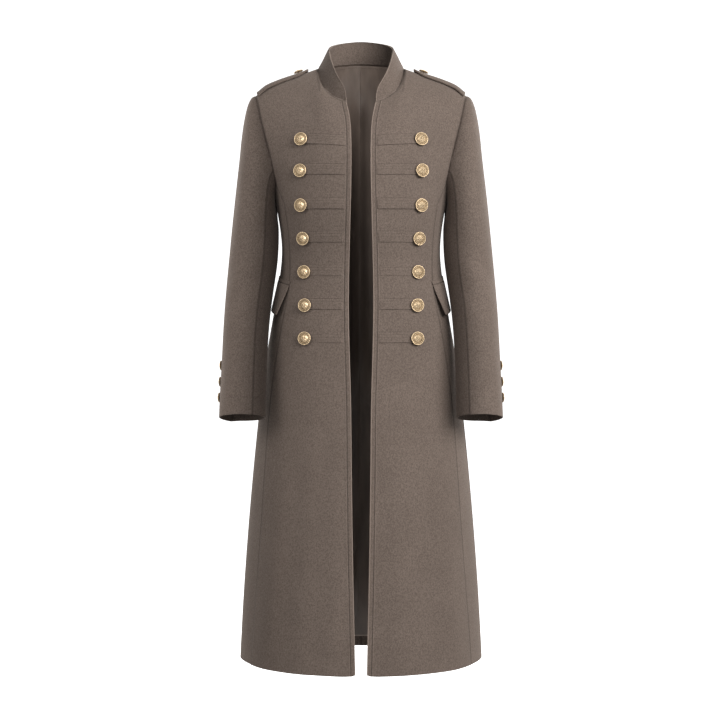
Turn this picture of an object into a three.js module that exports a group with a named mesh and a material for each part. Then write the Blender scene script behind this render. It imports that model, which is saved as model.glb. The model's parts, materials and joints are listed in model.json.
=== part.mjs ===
// Military greatcoat, worn shape and hollow, in millimetres.
// +X is the wearer's left, -Y is the front, +Z is up. The origin is between the shoulders, at the
// height of the two points where the neck seam meets the shoulder seams.
import * as THREE from 'three';

// Cloth and gaps
const WALL = 2.4;
const COLLAR_WALL = 3.2;
const LINING_WALL = 0.8;
const TAPE_WALL = 1.0;
const STRAP_WALL = 3;
const FLAP_WALL = 2.2;
const WELT_WALL = 1.0;
const SEAM_GAP = 0.3;
const COLLAR_GAP = 0.8;
const MITRE_LIMIT = 0.8;
const SAME_FACING = 0.9;
const LIFT = 0.3;

// Body: half sections round the trunk, each a superellipse with its own front and back depth.
// Squareness flattens the front and back, and a low fullness draws the side to a soft edge.
const BODY = [
  { z: -1087, side: 223.5, front: 158, back: 101, squareness: 2.8, fullness: 1.45 },
  { z: -982, side: 218.3, front: 151.5, back: 100, squareness: 2.75, fullness: 1.5 },
  { z: -878, side: 211, front: 145, back: 99, squareness: 2.7, fullness: 1.6 },
  { z: -775, side: 202.6, front: 136, back: 97, squareness: 2.6, fullness: 1.7 },
  { z: -671, side: 192.4, front: 127, back: 94, squareness: 2.5, fullness: 1.8 },
  { z: -615, side: 186.5, front: 121, back: 92.5, squareness: 2.45, fullness: 1.9 },
  { z: -560, side: 179.5, front: 116, back: 91, squareness: 2.4, fullness: 2 },
  { z: -503, side: 170.5, front: 111, back: 88, squareness: 2.35, fullness: 2.1 },
  { z: -464, side: 163.5, front: 108, back: 84, squareness: 2.3, fullness: 2.2 },
  { z: -424, side: 156.5, front: 106, back: 80, squareness: 2.3, fullness: 2.3 },
  { z: -384, side: 150, front: 106, back: 77, squareness: 2.3, fullness: 2.3 },
  { z: -358, side: 146.2, front: 109, back: 77, squareness: 2.3, fullness: 2.3 },
  { z: -334, side: 146, front: 114, back: 80, squareness: 2.3, fullness: 2.3 },
  { z: -300, side: 148.4, front: 121, back: 86, squareness: 2.3, fullness: 2.3 },
  { z: -253, side: 157, front: 125, back: 93, squareness: 2.3, fullness: 2.3 },
  { z: -219, side: 163, front: 124, back: 95, squareness: 2.3, fullness: 2.3 },
];

// Distance of the front edge from the middle
const FRONT_EDGE = [
  { z: -1087, x: 9.8 },
  { z: -991, x: 12 },
  { z: -893, x: 14.1 },
  { z: -793, x: 15.6 },
  { z: -727, x: 16.4 },
  { z: -626, x: 17.3 },
  { z: -559, x: 19.1 },
  { z: -492, x: 21.2 },
  { z: -425, x: 21.9 },
  { z: -356, x: 20.6 },
  { z: -294, x: 19 },
  { z: -226, x: 17.3 },
  { z: -160, x: 16.9 },
  { z: -111, x: 19.1 },
  { z: -75, x: 26.1 },
];

// Distance of the princess seam from the middle
const PRINCESS = [
  { z: -1087, x: 198.5 },
  { z: -989, x: 192 },
  { z: -903, x: 185 },
  { z: -799, x: 177.5 },
  { z: -663, x: 168.5 },
  { z: -560, x: 157.5 },
  { z: -500, x: 148 },
  { z: -440, x: 136 },
  { z: -404, x: 129.5 },
  { z: -350, x: 128 },
  { z: -321, x: 129.5 },
  { z: -290, x: 132.3 },
  { z: -259, x: 137.5 },
  { z: -236, x: 145.5 },
  { z: -219, x: 154.2 },
];

// Heights of the rows of points, at the princess seam and at the side seam
const ROWS = [
  { princess: -1087, side: -1087 },
  { princess: -1000, side: -1000 },
  { princess: -910, side: -910 },
  { princess: -820, side: -820 },
  { princess: -735, side: -735 },
  { princess: -660, side: -660 },
  { princess: -600, side: -600 },
  { princess: -548, side: -548 },
  { princess: -503, side: -503 },
  { princess: -464, side: -464 },
  { princess: -424, side: -424 },
  { princess: -384, side: -384 },
  { princess: -345, side: -345 },
  { princess: -302, side: -316 },
  { princess: -258, side: -284 },
  { princess: -219, side: -253 },
];
const FRONT_ROUNDED_CORNER = 3;

// Columns of points: the first half ends at the neck, the second half at the shoulder seam
const FRONT_COLUMNS = [0, 0.05, 0.12, 0.22, 0.35, 0.5, 0.6, 0.7, 0.8, 0.9, 1];
const BACK_COLUMNS = [0, 0.1, 0.2, 0.3, 0.4, 0.5, 0.6, 0.7, 0.8, 0.9, 1];
const SIDE_COLUMNS = [0, 0.25, 0.5, 0.75, 1];
const FRONT_UPPER = [0.12, 0.25, 0.38, 0.5, 0.62, 0.74, 0.84, 0.92, 0.97, 1];
const BACK_UPPER = [0.09, 0.18, 0.28, 0.38, 0.48, 0.58, 0.68, 0.78, 0.87, 0.94, 0.98, 1];

// Neck, shoulder and armhole seams of the wearer's left half
const NECK_FRONT = [
  { x: 26.1, y: -80, z: -75 },
  { x: 42, y: -74, z: -69 },
  { x: 58.7, y: -65, z: -57 },
  { x: 73.9, y: -40, z: -33 },
  { x: 81, y: -14, z: -8 },
  { x: 82, y: 0, z: 0 },
];
const NECK_BACK = [
  { x: 0, y: 75, z: 26 },
  { x: 33, y: 70, z: 24 },
  { x: 60, y: 53, z: 18 },
  { x: 77, y: 27, z: 9 },
  { x: 82, y: 0, z: 0 },
];
const SHOULDER_ROLL = 52;
const COLUMN_RISE = 0.36;
const NECK_ROLL = { y: 0.45, z: 0.88 };
const SHOULDER_ROLL_WAY = { y: 1, z: 0.05 };
const SHOULDER = [
  { x: 82, y: 0, z: 0 },
  { x: 100, y: 0, z: -7 },
  { x: 125, y: 0, z: -14.5 },
  { x: 149.5, y: 0, z: -22 },
  { x: 167.6, y: 0, z: -29.5 },
  { x: 181.7, y: 0, z: -37.5 },
  { x: 190, y: 0, z: -44 },
  { x: 194.4, y: 0, z: -49.6 },
];
const ARMHOLE_FRONT = [
  { x: 158.5, y: -58, z: -195 },
  { x: 169, y: -58, z: -150 },
  { x: 181.3, y: -47, z: -101.5 },
  { x: 188, y: -33, z: -72 },
  { x: 192.8, y: -16, z: -54.5 },
  { x: 194.4, y: 0, z: -49.6 },
];
const ARMHOLE_BACK = [
  { x: 152, y: 38, z: -232 },
  { x: 151, y: 57, z: -192 },
  { x: 157, y: 60, z: -150 },
  { x: 172, y: 52, z: -105 },
  { x: 185, y: 36, z: -73 },
  { x: 192.3, y: 17, z: -55 },
  { x: 194.4, y: 0, z: -49.6 },
];

// Standing collar: its top edge, beside the share of the neck seam run from the front
const COLLAR_TOP = [
  { along: 0, x: 26.6, y: -77, z: -60 },
  { along: 0.035, x: 28.5, y: -74.5, z: -50 },
  { along: 0.08, x: 33, y: -69, z: -40 },
  { along: 0.16, x: 41, y: -61, z: -27 },
  { along: 0.3, x: 51.5, y: -40, z: -2 },
  { along: 0.42, x: 57.5, y: -14, z: 23 },
  { along: 0.5, x: 60, y: 2, z: 36 },
  { along: 0.62, x: 60, y: 26, z: 47 },
  { along: 0.75, x: 50, y: 50, z: 57 },
  { along: 0.88, x: 28, y: 68, z: 65 },
  { along: 1, x: 0, y: 74, z: 68.5 },
];
const COLLAR_RISES = [0, 0.3, 0.6, 0.85, 1];
const COLLAR_SWELL = 1;

// Sleeve rings below the underarm: the outer and inner side, the middle and depth, and the tilt
const SLEEVE = [
  { z: -641, outer: 253.9, inner: 170, y: -84, depth: 86, tilt: 0.19 },
  { z: -600, outer: 253.2, inner: 169.6, y: -77, depth: 88, tilt: 0.15 },
  { z: -560, outer: 251.8, inner: 169.2, y: -68, depth: 92, tilt: 0.11 },
  { z: -504, outer: 250.4, inner: 167.7, y: -53, depth: 99, tilt: 0.06 },
  { z: -450, outer: 248.7, inner: 164.2, y: -38, depth: 107, tilt: 0.03 },
  { z: -400, outer: 246.2, inner: 157.8, y: -22, depth: 114, tilt: 0.01 },
  { z: -350, outer: 242.1, inner: 151.4, y: -14, depth: 119, tilt: 0 },
  { z: -300, outer: 238, inner: 150.8, y: -8, depth: 124, tilt: 0 },
];
const SLEEVE_ROWS = [-300, -345, -395, -450, -504, -560, -600, -641];
const CAP = [0, 0.08, 0.18, 0.34, 0.54, 0.77];
const FRONT_SLEEVE_SEAM = 126;
const BACK_SLEEVE_SEAM = 285;
const BACK_SEAM_SWING = 20;
const VENT_DROP = 2;
const VENT_COLUMNS = 4;
const SEAM_SWING_WIDTH = 110;

// Sleeve cap: how far it stands out from the armhole, and rises from the arm, round the armhole
const CAP_OUT = { mean: 20, outside: 8, sides: -5.5 };
const CAP_WAY = { x: 0.75, xOutside: 0.25, y: -0.55, z: -0.42, zOutside: 0.5 };
const CAP_RISE = { mean: 0.55, outside: 0.2, lean: -0.05 };

// Buttons and the tapes that run from them to the front edge, a little lower there
const FRONT_BUTTONS = [
  { x: 105.6, z: -146, drop: 7 },
  { x: 107, z: -202, drop: 3 },
  { x: 105.2, z: -263, drop: 2 },
  { x: 101.6, z: -321.5, drop: 1 },
  { x: 100.6, z: -380.8, drop: 1 },
  { x: 99, z: -440.7, drop: 1 },
  { x: 99.3, z: -500, drop: 1 },
];
const FRONT_BUTTON = { radius: 12, shank: 1.8, away: 2.4, frontward: 0.5, steps: 12 };
const SMALL_BUTTON = { radius: 9, shank: 0.8, away: LIFT, frontward: 0, steps: 10 };
const SHANK_RADIUS = 2.5;
const TAPE_ABOVE = 13.3;
const TAPE_BELOW = 6.7;
const TAPE_FROM_EDGE = 10.5;
const TAPE_STEPS = 8;
const TAPE_LIFT = 0.8;
const CUFF_BUTTON_HEIGHTS = [-547, -576, -604];
const CUFF_BUTTON_TURN = -12;

// Shoulder straps: half width at each distance from the middle, how far the edges fall short of
// that distance along the curved armhole, and the lift of the pointed end
const STRAP = [
  { x: 192, half: 22, bow: 4, lift: 0 },
  { x: 184, half: 22, bow: 2, lift: 0.6 },
  { x: 174, half: 22, bow: 1, lift: 0.8 },
  { x: 160, half: 22, bow: 0, lift: 0 },
  { x: 144, half: 22, bow: 0, lift: 0 },
  { x: 128, half: 22, bow: 0, lift: 0 },
  { x: 112, half: 21, bow: 0, lift: 0.2 },
  { x: 103, half: 13, bow: 0, lift: 0.8 },
  { x: 97.5, half: 5, bow: 0, lift: 1.6 },
];
const STRAP_ACROSS = [-1, -0.66, -0.33, 0, 0.33, 0.66, 1];
const STRAP_BUTTON_X = 115;
const STRAP_LIFT = 1.1;
const STRAP_ROWS = 6;

// Pocket flaps: turns are degrees round the side, 0 at the side seam and -90 at the middle front
const FLAP_FRONT_TURN = -35;
const FLAP_BACK_TURN = 30;
const FLAP_LEAN = 6.6;
const FLAP_TOP_FRONT = -404;
const FLAP_RISE = 25;
const FLAP_DEPTH = 53;
const FLAP_STEPS = 10;
const FLAP_STANDOFF = [0.5, 1.2, 2, 2.8];
const WELT_BOTTOM = 1.5;
const WELT_TOP = 7;
const WELT_STANDOFF = 0.9;

// Back lining: columns across the back from -1 to 1, with the fold of its centre pleat
const LINING_CLEARANCE = 1.4;
const LINING_ROWS = [
  { place: 0.22, inset: 0 },
  { place: 2, inset: 0 },
  { place: 4, inset: 0 },
  { place: 5, inset: 0 },
  { place: 6, inset: 0 },
  { place: 7, inset: 0 },
  { place: 8, inset: 0 },
  { place: 9, inset: 0 },
  { place: 10, inset: 0 },
  { place: 11, inset: 0 },
  { place: 12, inset: 0 },
  { place: 13, inset: 0 },
  { place: 14, inset: 0 },
  { place: 15, inset: 0.3 },
  { place: 17, inset: 1 },
  { place: 19, inset: 1.5 },
  { place: 21, inset: 2 },
  { place: 23, inset: 2 },
  { place: 24.5, inset: 1.5 },
  { place: 26.4, inset: 0.5 },
];
const LINING_COLUMNS = [
  { across: -0.97, rise: 0 },
  { across: -0.82, rise: 0 },
  { across: -0.65, rise: 0 },
  { across: -0.5, rise: 0 },
  { across: -0.22, rise: 0.6 },
  { across: -0.1, rise: 3.2 },
  { across: -0.02, rise: 3.2 },
  { across: -0.008, rise: 2.4 },
  { across: -0.02, rise: 1.6 },
  { across: -0.09, rise: 1.6 },
  { across: -0.102, rise: 0.8 },
  { across: -0.09, rise: 0 },
  { across: 0.06, rise: 0 },
  { across: 0.25, rise: 0 },
  { across: 0.5, rise: 0 },
  { across: 0.65, rise: 0 },
  { across: 0.82, rise: 0 },
  { across: 0.97, rise: 0 },
];

const RADIANS = Math.PI / 180;
const HAIR = 1e-6;

// Materials
function cloth(color) {
  return new THREE.MeshStandardMaterial({ color, roughness: 0.95, metalness: 0 });
}
const wool = () => cloth(0x7a6b60);
const satin = () => new THREE.MeshStandardMaterial({ color: 0x40352c, roughness: 0.5, metalness: 0 });
const brass = () => new THREE.MeshStandardMaterial({ color: 0xb5945a, roughness: 0.35, metalness: 1 });

// Smooth curve through one column of a table, over another column that falls or rises
function smooth(table, over, name, at) {
  const rows = table[0][over] < table[table.length - 1][over] ? table : [...table].reverse();
  const last = rows.length - 1;
  let i = 0;
  while (i < last - 1 && at > rows[i + 1][over]) i += 1;
  const slope = (k) => {
    const a = rows[Math.max(k - 1, 0)];
    const b = rows[Math.min(k + 1, last)];
    return (b[name] - a[name]) / (b[over] - a[over]);
  };
  const span = rows[i + 1][over] - rows[i][over];
  const t = (at - rows[i][over]) / span;
  const start = rows[i][name] * (1 + 2 * t) * (1 - t) ** 2;
  const end = rows[i + 1][name] * (3 - 2 * t) * t ** 2;
  const bends = slope(i) * t * (1 - t) ** 2 - slope(i + 1) * (1 - t) * t ** 2;
  return start + end + span * bends;
}

// Point of the trunk at a height and a turn: -90 degrees at the middle front, 90 at the middle back
function bodyPoint(z, turn) {
  const side = smooth(BODY, 'z', 'side', z);
  const depth = turn < 0 ? -smooth(BODY, 'z', 'front', z) : smooth(BODY, 'z', 'back', z);
  const across = Math.abs(Math.cos(turn)) ** (2 / smooth(BODY, 'z', 'squareness', z));
  const along = Math.abs(Math.sin(turn)) ** (2 / smooth(BODY, 'z', 'fullness', z));
  return new THREE.Vector3(side * across, depth * along, z);
}

function frontTurn(z, x) {
  const share = x / smooth(BODY, 'z', 'side', z);
  return -Math.acos(share ** (smooth(BODY, 'z', 'squareness', z) / 2));
}

const edgeTurn = (z) => frontTurn(z, smooth(FRONT_EDGE, 'z', 'x', z));
const princessTurn = (z) => frontTurn(z, smooth(PRINCESS, 'z', 'x', z));

function seamCurve(table, first) {
  const points = table.map((row) => new THREE.Vector3(row.x, row.y, row.z));
  return new THREE.CatmullRomCurve3(first ? [first, ...points] : points, false, 'centripetal');
}

function bezier(a, b, c, d, t) {
  const s = 1 - t;
  return a.clone().multiplyScalar(s ** 3)
    .addScaledVector(b, 3 * s * s * t)
    .addScaledVector(c, 3 * s * t * t)
    .addScaledVector(d, t ** 3);
}

const lastRow = ROWS.length - 1;
const notchHeight = ROWS[lastRow].princess;
const underarmHeight = ROWS[lastRow].side;
const neckFront = seamCurve(NECK_FRONT);
const neckBack = seamCurve(NECK_BACK);
const shoulderSeam = seamCurve(SHOULDER);
const armholeFront = seamCurve(ARMHOLE_FRONT, bodyPoint(notchHeight, princessTurn(notchHeight)));
const armholeBack = seamCurve(ARMHOLE_BACK, bodyPoint(underarmHeight, 0));

// Top edge of the upper front or back: the neck seam, then the shoulder seam
function topEdge(neck, u) {
  return u <= 0.5 ? neck.getPointAt(2 * u) : shoulderSeam.getPointAt(2 * u - 1);
}

// A column of the upper body, which rises along the trunk and rolls over the shoulder
function shoulderColumn(base, top, facing, u, t) {
  const overShoulder = Math.min(2 * u, 1);
  const rollAcross = facing * (NECK_ROLL.y + (SHOULDER_ROLL_WAY.y - NECK_ROLL.y) * overShoulder);
  const rollUp = NECK_ROLL.z + (SHOULDER_ROLL_WAY.z - NECK_ROLL.z) * overShoulder;
  const roll = new THREE.Vector3(0, rollAcross, rollUp).normalize();
  const first = base.clone().add(new THREE.Vector3(0, 0, COLUMN_RISE * base.distanceTo(top)));
  const second = top.clone().addScaledVector(roll, -SHOULDER_ROLL);
  return bezier(base, first, second, top, t);
}

// Upper front: u runs from the front edge to the armhole, t from the bust row to the shoulder
function upperFront(u, t) {
  const turn = (1 - u) * edgeTurn(notchHeight) + u * princessTurn(notchHeight);
  const base = bodyPoint(notchHeight, turn);
  const point = shoulderColumn(base, topEdge(neckFront, u), 1, u, t);
  const outer = shoulderColumn(armholeFront.getPointAt(0), armholeFront.getPointAt(1), 1, 1, t);
  point.addScaledVector(armholeFront.getPointAt(t).sub(outer), u ** 3);
  const edgeBase = bodyPoint(notchHeight, edgeTurn(notchHeight));
  const edge = shoulderColumn(edgeBase, neckFront.getPointAt(0), 1, 0, t);
  point.x += (smooth(FRONT_EDGE, 'z', 'x', edge.z) - edge.x) * (1 - u) ** 2;
  return point;
}

// Upper back: u runs from the centre-back seam to the armhole
function upperBack(u, t) {
  const base = bodyPoint(underarmHeight, (1 - u) * 90 * RADIANS);
  const point = shoulderColumn(base, topEdge(neckBack, u), -1, u, t);
  const outer = shoulderColumn(armholeBack.getPointAt(0), armholeBack.getPointAt(1), -1, 1, t);
  point.addScaledVector(armholeBack.getPointAt(t).sub(outer), u ** 2);
  return point;
}

// A grid holds rows of points, each with the direction that its wall faces
function makeGrid(rows, columns, pointAt) {
  const row = (_, i) => Array.from({ length: columns }, (__, j) => ({ p: pointAt(i, j) }));
  return Array.from({ length: rows }, row);
}

function gridNormal(grid, i, j) {
  const rows = grid.length - 1;
  const columns = grid[0].length - 1;
  const up = grid[Math.min(i + 1, rows)][j].p.clone().sub(grid[Math.max(i - 1, 0)][j].p);
  const across = grid[i][Math.min(j + 1, columns)].p.clone().sub(grid[i][Math.max(j - 1, 0)].p);
  return across.cross(up).normalize();
}

// Facing vectors for a whole grid, turned to the side that the given direction points to at a point
function setNormals(grid, toward, atRow = 1, atColumn = 1) {
  const flip = gridNormal(grid, atRow, atColumn).dot(toward) < 0 ? -1 : 1;
  grid.forEach((row, i) => row.forEach((vertex, j) => {
    vertex.n = gridNormal(grid, i, j).multiplyScalar(flip);
  }));
  return grid;
}

// Points that several pieces share get one facing, a mitre between their walls
function shareNormals(grids) {
  const shared = new Map();
  for (const grid of grids) {
    for (const vertex of grid.flat()) {
      const key = vertex.p.toArray().map((value) => Math.round(value * 10) + 0).join();
      if (!shared.has(key)) shared.set(key, []);
      shared.get(key).push(vertex);
    }
  }
  for (const group of shared.values()) {
    if (group.length < 2) continue;
    const facings = [];
    for (const { n } of group) {
      if (!facings.some((facing) => facing.dot(n) > SAME_FACING)) facings.push(n);
    }
    const mean = new THREE.Vector3();
    facings.forEach((facing) => mean.add(facing));
    mean.normalize();
    const lean = facings.reduce((sum, facing) => sum + facing.dot(mean), 0) / facings.length;
    const mitre = mean.multiplyScalar(1 / Math.max(lean, MITRE_LIMIT));
    group.forEach((vertex) => { vertex.n = mitre.clone(); });
  }
}

// Each piece is trimmed back from its own edges by half a seam gap
function trimEdges(grid, gap) {
  const rows = grid.length - 1;
  const columns = grid[0].length - 1;
  const moves = [];
  const trim = (edge, inside) => edge.forEach((vertex, k) => {
    const before = edge[Math.max(k - 1, 0)].p;
    const after = edge[Math.min(k + 1, edge.length - 1)].p;
    const push = after.clone().sub(before).cross(vertex.n).normalize();
    if (push.dot(inside[k].p.clone().sub(vertex.p)) < 0) push.negate();
    moves.push([vertex, push.multiplyScalar(gap / 2)]);
  });
  trim(grid[0], grid[1]);
  trim(grid[rows], grid[rows - 1]);
  trim(grid.map((row) => row[0]), grid.map((row) => row[1]));
  trim(grid.map((row) => row[columns]), grid.map((row) => row[columns - 1]));
  moves.forEach(([vertex, push]) => vertex.p.add(push));
  return grid;
}

const mirrorVector = (v) => new THREE.Vector3(-v.x, v.y, v.z);

function mirrorGrid(grid) {
  return grid.map((row) => row.map(({ p, n }) => ({ p: mirrorVector(p), n: mirrorVector(n) })));
}

// Closed wall over a grid: the outer face, the inner face a wall behind it, and the four edges
function wallGeometry(grid, wall) {
  const rows = grid.length;
  const columns = grid[0].length;
  const outer = grid.flat();
  const points = [
    ...outer.map(({ p }) => p),
    ...outer.map(({ p, n }) => p.clone().addScaledVector(n, -wall)),
  ];
  const quads = [];
  const inside = rows * columns;
  for (let i = 0; i < rows - 1; i += 1) {
    for (let j = 0; j < columns - 1; j += 1) {
      const a = i * columns + j;
      quads.push([a, a + 1, a + columns + 1, a + columns]);
      quads.push([a + inside, a + inside + columns, a + inside + columns + 1, a + inside + 1]);
    }
  }
  const rim = [];
  for (let j = 0; j < columns; j += 1) rim.push(j);
  for (let i = 1; i < rows; i += 1) rim.push(i * columns + columns - 1);
  for (let j = columns - 2; j >= 0; j -= 1) rim.push((rows - 1) * columns + j);
  for (let i = rows - 2; i > 0; i -= 1) rim.push(i * columns);
  rim.forEach((a, k) => {
    const b = rim[(k + 1) % rim.length];
    const across = points[b].distanceTo(points[a + inside]);
    const other = points[a].distanceTo(points[b + inside]);
    if (across < other) quads.push([b, a, a + inside, b + inside]);
    else quads.push([a, a + inside, b + inside, b]);
  });
  const flipped = gridNormal(grid, 1, 1).dot(grid[1][1].n) < 0;
  const faces = quads.flatMap(([a, b, c, d]) => (flipped ? [a, c, b, a, d, c] : [a, b, c, a, c, d]));
  const geometry = new THREE.BufferGeometry();
  geometry.setAttribute('position', new THREE.Float32BufferAttribute(points.flatMap((p) => p.toArray()), 3));
  geometry.setIndex(faces);
  geometry.computeVertexNormals();
  return geometry;
}

// Panels of the wearer's left half of the body
function makeFront() {
  const grid = makeGrid(lastRow + 1 + FRONT_UPPER.length, FRONT_COLUMNS.length, (i, j) => {
    const u = FRONT_COLUMNS[j];
    if (i > lastRow) return upperFront(u, FRONT_UPPER[i - lastRow - 1]);
    const z = ROWS[i].princess;
    const point = bodyPoint(z, (1 - u) * edgeTurn(z) + u * princessTurn(z));
    if (i === 0 && j === 0) point.z += FRONT_ROUNDED_CORNER;
    return point;
  });
  return setNormals(grid, new THREE.Vector3(0, -1, 0));
}

function makeSideFront() {
  const grid = makeGrid(lastRow + 1, SIDE_COLUMNS.length, (i, j) => {
    const { princess, side } = ROWS[i];
    const t = SIDE_COLUMNS[j];
    const z = princess + (side - princess) * Math.sin(t * 90 * RADIANS);
    return bodyPoint(z, princessTurn(princess) * (1 - t));
  });
  return setNormals(grid, new THREE.Vector3(1, 0, 0));
}

// Point of the back on a row, or part of the way to the next one
function backPoint(row, u) {
  const onRow = (i) => {
    if (i > lastRow) return upperBack(u, BACK_UPPER[i - lastRow - 1]);
    return bodyPoint(ROWS[i].side, (1 - u) * 90 * RADIANS);
  };
  const below = Math.min(Math.floor(row), lastRow + BACK_UPPER.length - 1);
  return onRow(below).lerp(onRow(below + 1), row - below);
}

function makeBack() {
  const rows = lastRow + 1 + BACK_UPPER.length;
  const grid = makeGrid(rows, BACK_COLUMNS.length, (i, j) => backPoint(i, BACK_COLUMNS[j]));
  return setNormals(grid, new THREE.Vector3(0, 1, 0));
}

// Sleeve: columns start at the points of the armhole seam, go over the cap and down the arm
function armholeLoop(front, sideFront, back) {
  const end = front[0].length - 1;
  const down = front.slice(lastRow).reverse().map((row) => row[end].p);
  const under = sideFront[lastRow].slice(1).map(({ p }) => p);
  const up = back.slice(lastRow + 1, -1).map((row) => row[row.length - 1].p);
  return { loop: [...down, ...under, ...up], underarm: down.length + under.length - 1 };
}

// Turn of each column round the arm: 0 outside, 90 in front, 180 at the underarm, 270 behind
function columnTurns(loop, underarm) {
  const count = loop.length;
  const lengths = [0];
  for (let k = 1; k <= count; k += 1) {
    lengths.push(lengths[k - 1] + loop[k - 1].distanceTo(loop[k % count]));
  }
  return loop.map((_, k) => {
    if (k <= underarm) return (180 * lengths[k]) / lengths[underarm];
    return 180 + (180 * (lengths[k] - lengths[underarm])) / (lengths[count] - lengths[underarm]);
  });
}

function ringPoint(z, turn) {
  const outer = smooth(SLEEVE, 'z', 'outer', z);
  const inner = smooth(SLEEVE, 'z', 'inner', z);
  const halfDepth = smooth(SLEEVE, 'z', 'depth', z) / 2;
  const forward = halfDepth * Math.sin(turn * RADIANS);
  const x = (outer + inner) / 2 + ((outer - inner) / 2) * Math.cos(turn * RADIANS);
  const y = smooth(SLEEVE, 'z', 'y', z) - forward;
  return new THREE.Vector3(x, y, z + forward * smooth(SLEEVE, 'z', 'tilt', z));
}

// The back seam swings outward on its way down, so the turn of a column shifts with the height
function armTurn(turn, z) {
  const down = (SLEEVE_ROWS[0] - z) / (SLEEVE_ROWS[0] - SLEEVE_ROWS[SLEEVE_ROWS.length - 1]);
  const nearSeam = Math.max(0, 1 - Math.abs(turn - BACK_SLEEVE_SEAM) / SEAM_SWING_WIDTH);
  return turn + BACK_SEAM_SWING * down * nearSeam;
}

function capPoint(seam, turn, t) {
  const cosine = Math.cos(turn * RADIANS);
  const ring = ringPoint(SLEEVE_ROWS[0], turn);
  const out = new THREE.Vector3(
    CAP_WAY.x + CAP_WAY.xOutside * cosine,
    CAP_WAY.y * Math.sin(turn * RADIANS),
    CAP_WAY.z + CAP_WAY.zOutside * cosine,
  );
  const outReach = CAP_OUT.mean + CAP_OUT.outside * cosine + CAP_OUT.sides * Math.cos(2 * turn * RADIANS);
  const up = new THREE.Vector3(CAP_RISE.lean * (1 + cosine), 0, 1);
  const upReach = seam.distanceTo(ring) * (CAP_RISE.mean + CAP_RISE.outside * cosine);
  const first = seam.clone().addScaledVector(out.normalize(), outReach);
  const second = ring.clone().addScaledVector(up.normalize(), upReach);
  return bezier(seam, first, second, ring, t);
}

// Rows of a sleeve piece, from the armhole to the hem, for a run of columns
function makeSleevePiece(loop, turns, columns, ventFirst) {
  const ventColumns = ventFirst ? VENT_COLUMNS : 1;
  const rows = CAP.length + SLEEVE_ROWS.length;
  const grid = makeGrid(rows, columns.length, (i, j) => {
    const k = columns[j] % loop.length;
    if (i < CAP.length) return capPoint(loop[k], turns[k], CAP[i]);
    const z = SLEEVE_ROWS[i - CAP.length];
    const point = ringPoint(z, armTurn(turns[k], z));
    const fromVent = ventFirst ? j : columns.length - 1 - j;
    if (i === rows - 1 && fromVent < ventColumns) point.z -= VENT_DROP * (1 - fromVent / ventColumns);
    return point;
  });
  const z = SLEEVE_ROWS[SLEEVE_ROWS.length - 3];
  const middle = Math.floor(columns.length / 2);
  const axis = ringPoint(z, 0).add(ringPoint(z, 180)).multiplyScalar(0.5);
  return setNormals(grid, grid[rows - 3][middle].p.clone().sub(axis), rows - 3, middle);
}

const range = (from, to) => Array.from({ length: to - from + 1 }, (_, k) => from + k);

function makeSleeves(front, sideFront, back) {
  const { loop, underarm } = armholeLoop(front, sideFront, back);
  const turns = columnTurns(loop, underarm);
  const nearest = (turn) => turns.reduce((best, value, k) => (
    Math.abs(value - turn) < Math.abs(turns[best] - turn) ? k : best), 0);
  const frontSeam = nearest(FRONT_SLEEVE_SEAM);
  const backSeam = nearest(BACK_SLEEVE_SEAM);
  return {
    top: makeSleevePiece(loop, turns, range(backSeam, loop.length + frontSeam), true),
    under: makeSleevePiece(loop, turns, range(frontSeam, backSeam), false),
  };
}

// Collar: half of its columns, from the front end to the centre back, then mirrored
function makeCollar(front, back) {
  const top = front[front.length - 1];
  const behind = back[back.length - 1];
  const neck = [
    ...range(0, 5).map((j) => ({ seam: top[j].p, along: FRONT_COLUMNS[j] })),
    ...range(0, 4).map((k) => ({ seam: behind[4 - k].p, along: 1 - BACK_COLUMNS[4 - k] })),
  ];
  const half = neck.map(({ seam, along }) => {
    const edge = new THREE.Vector3(
      smooth(COLLAR_TOP, 'along', 'x', along),
      smooth(COLLAR_TOP, 'along', 'y', along),
      smooth(COLLAR_TOP, 'along', 'z', along),
    );
    const outward = new THREE.Vector3(seam.x, seam.y, 0).normalize();
    return COLLAR_RISES.map((rise) => seam.clone().lerp(edge, rise)
      .addScaledVector(outward, COLLAR_SWELL * Math.sin(Math.PI * rise ** 1.5)));
  });
  const columns = [...half, ...half.slice(0, -1).reverse().map((column) => column.map(mirrorVector))];
  const grid = makeGrid(COLLAR_RISES.length, columns.length, (i, j) => columns[j][i].clone());
  return setNormals(grid, new THREE.Vector3(1, -1, 0));
}

// Place on the facets of one of some grids, found from two coordinates, with its facing
function placeOn(grids, first, second, a, b) {
  for (const grid of grids) {
    for (let i = 0; i < grid.length - 1; i += 1) {
      for (let j = 0; j < grid[0].length - 1; j += 1) {
        const corners = [grid[i][j], grid[i][j + 1], grid[i + 1][j + 1], grid[i + 1][j]];
        for (const [q, r, s] of [[0, 1, 2], [0, 2, 3]]) {
          const [A, B, C] = [corners[q].p, corners[r].p, corners[s].p];
          const cross = (u, v) => u[0] * v[1] - u[1] * v[0];
          const toB = [B[first] - A[first], B[second] - A[second]];
          const toC = [C[first] - A[first], C[second] - A[second]];
          const toPlace = [a - A[first], b - A[second]];
          const v = cross(toPlace, toC) / cross(toB, toC);
          const w = cross(toB, toPlace) / cross(toB, toC);
          if (v >= -HAIR && w >= -HAIR && v + w <= 1 + HAIR) {
            const p = A.clone().multiplyScalar(1 - v - w).addScaledVector(B, v).addScaledVector(C, w);
            const n = corners[q].n.clone().multiplyScalar(1 - v - w)
              .addScaledVector(corners[r].n, v).addScaledVector(corners[s].n, w).normalize();
            return { p, n };
          }
        }
      }
    }
  }
  throw new Error(`no place at ${first} ${a}, ${second} ${b}`);
}

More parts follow.
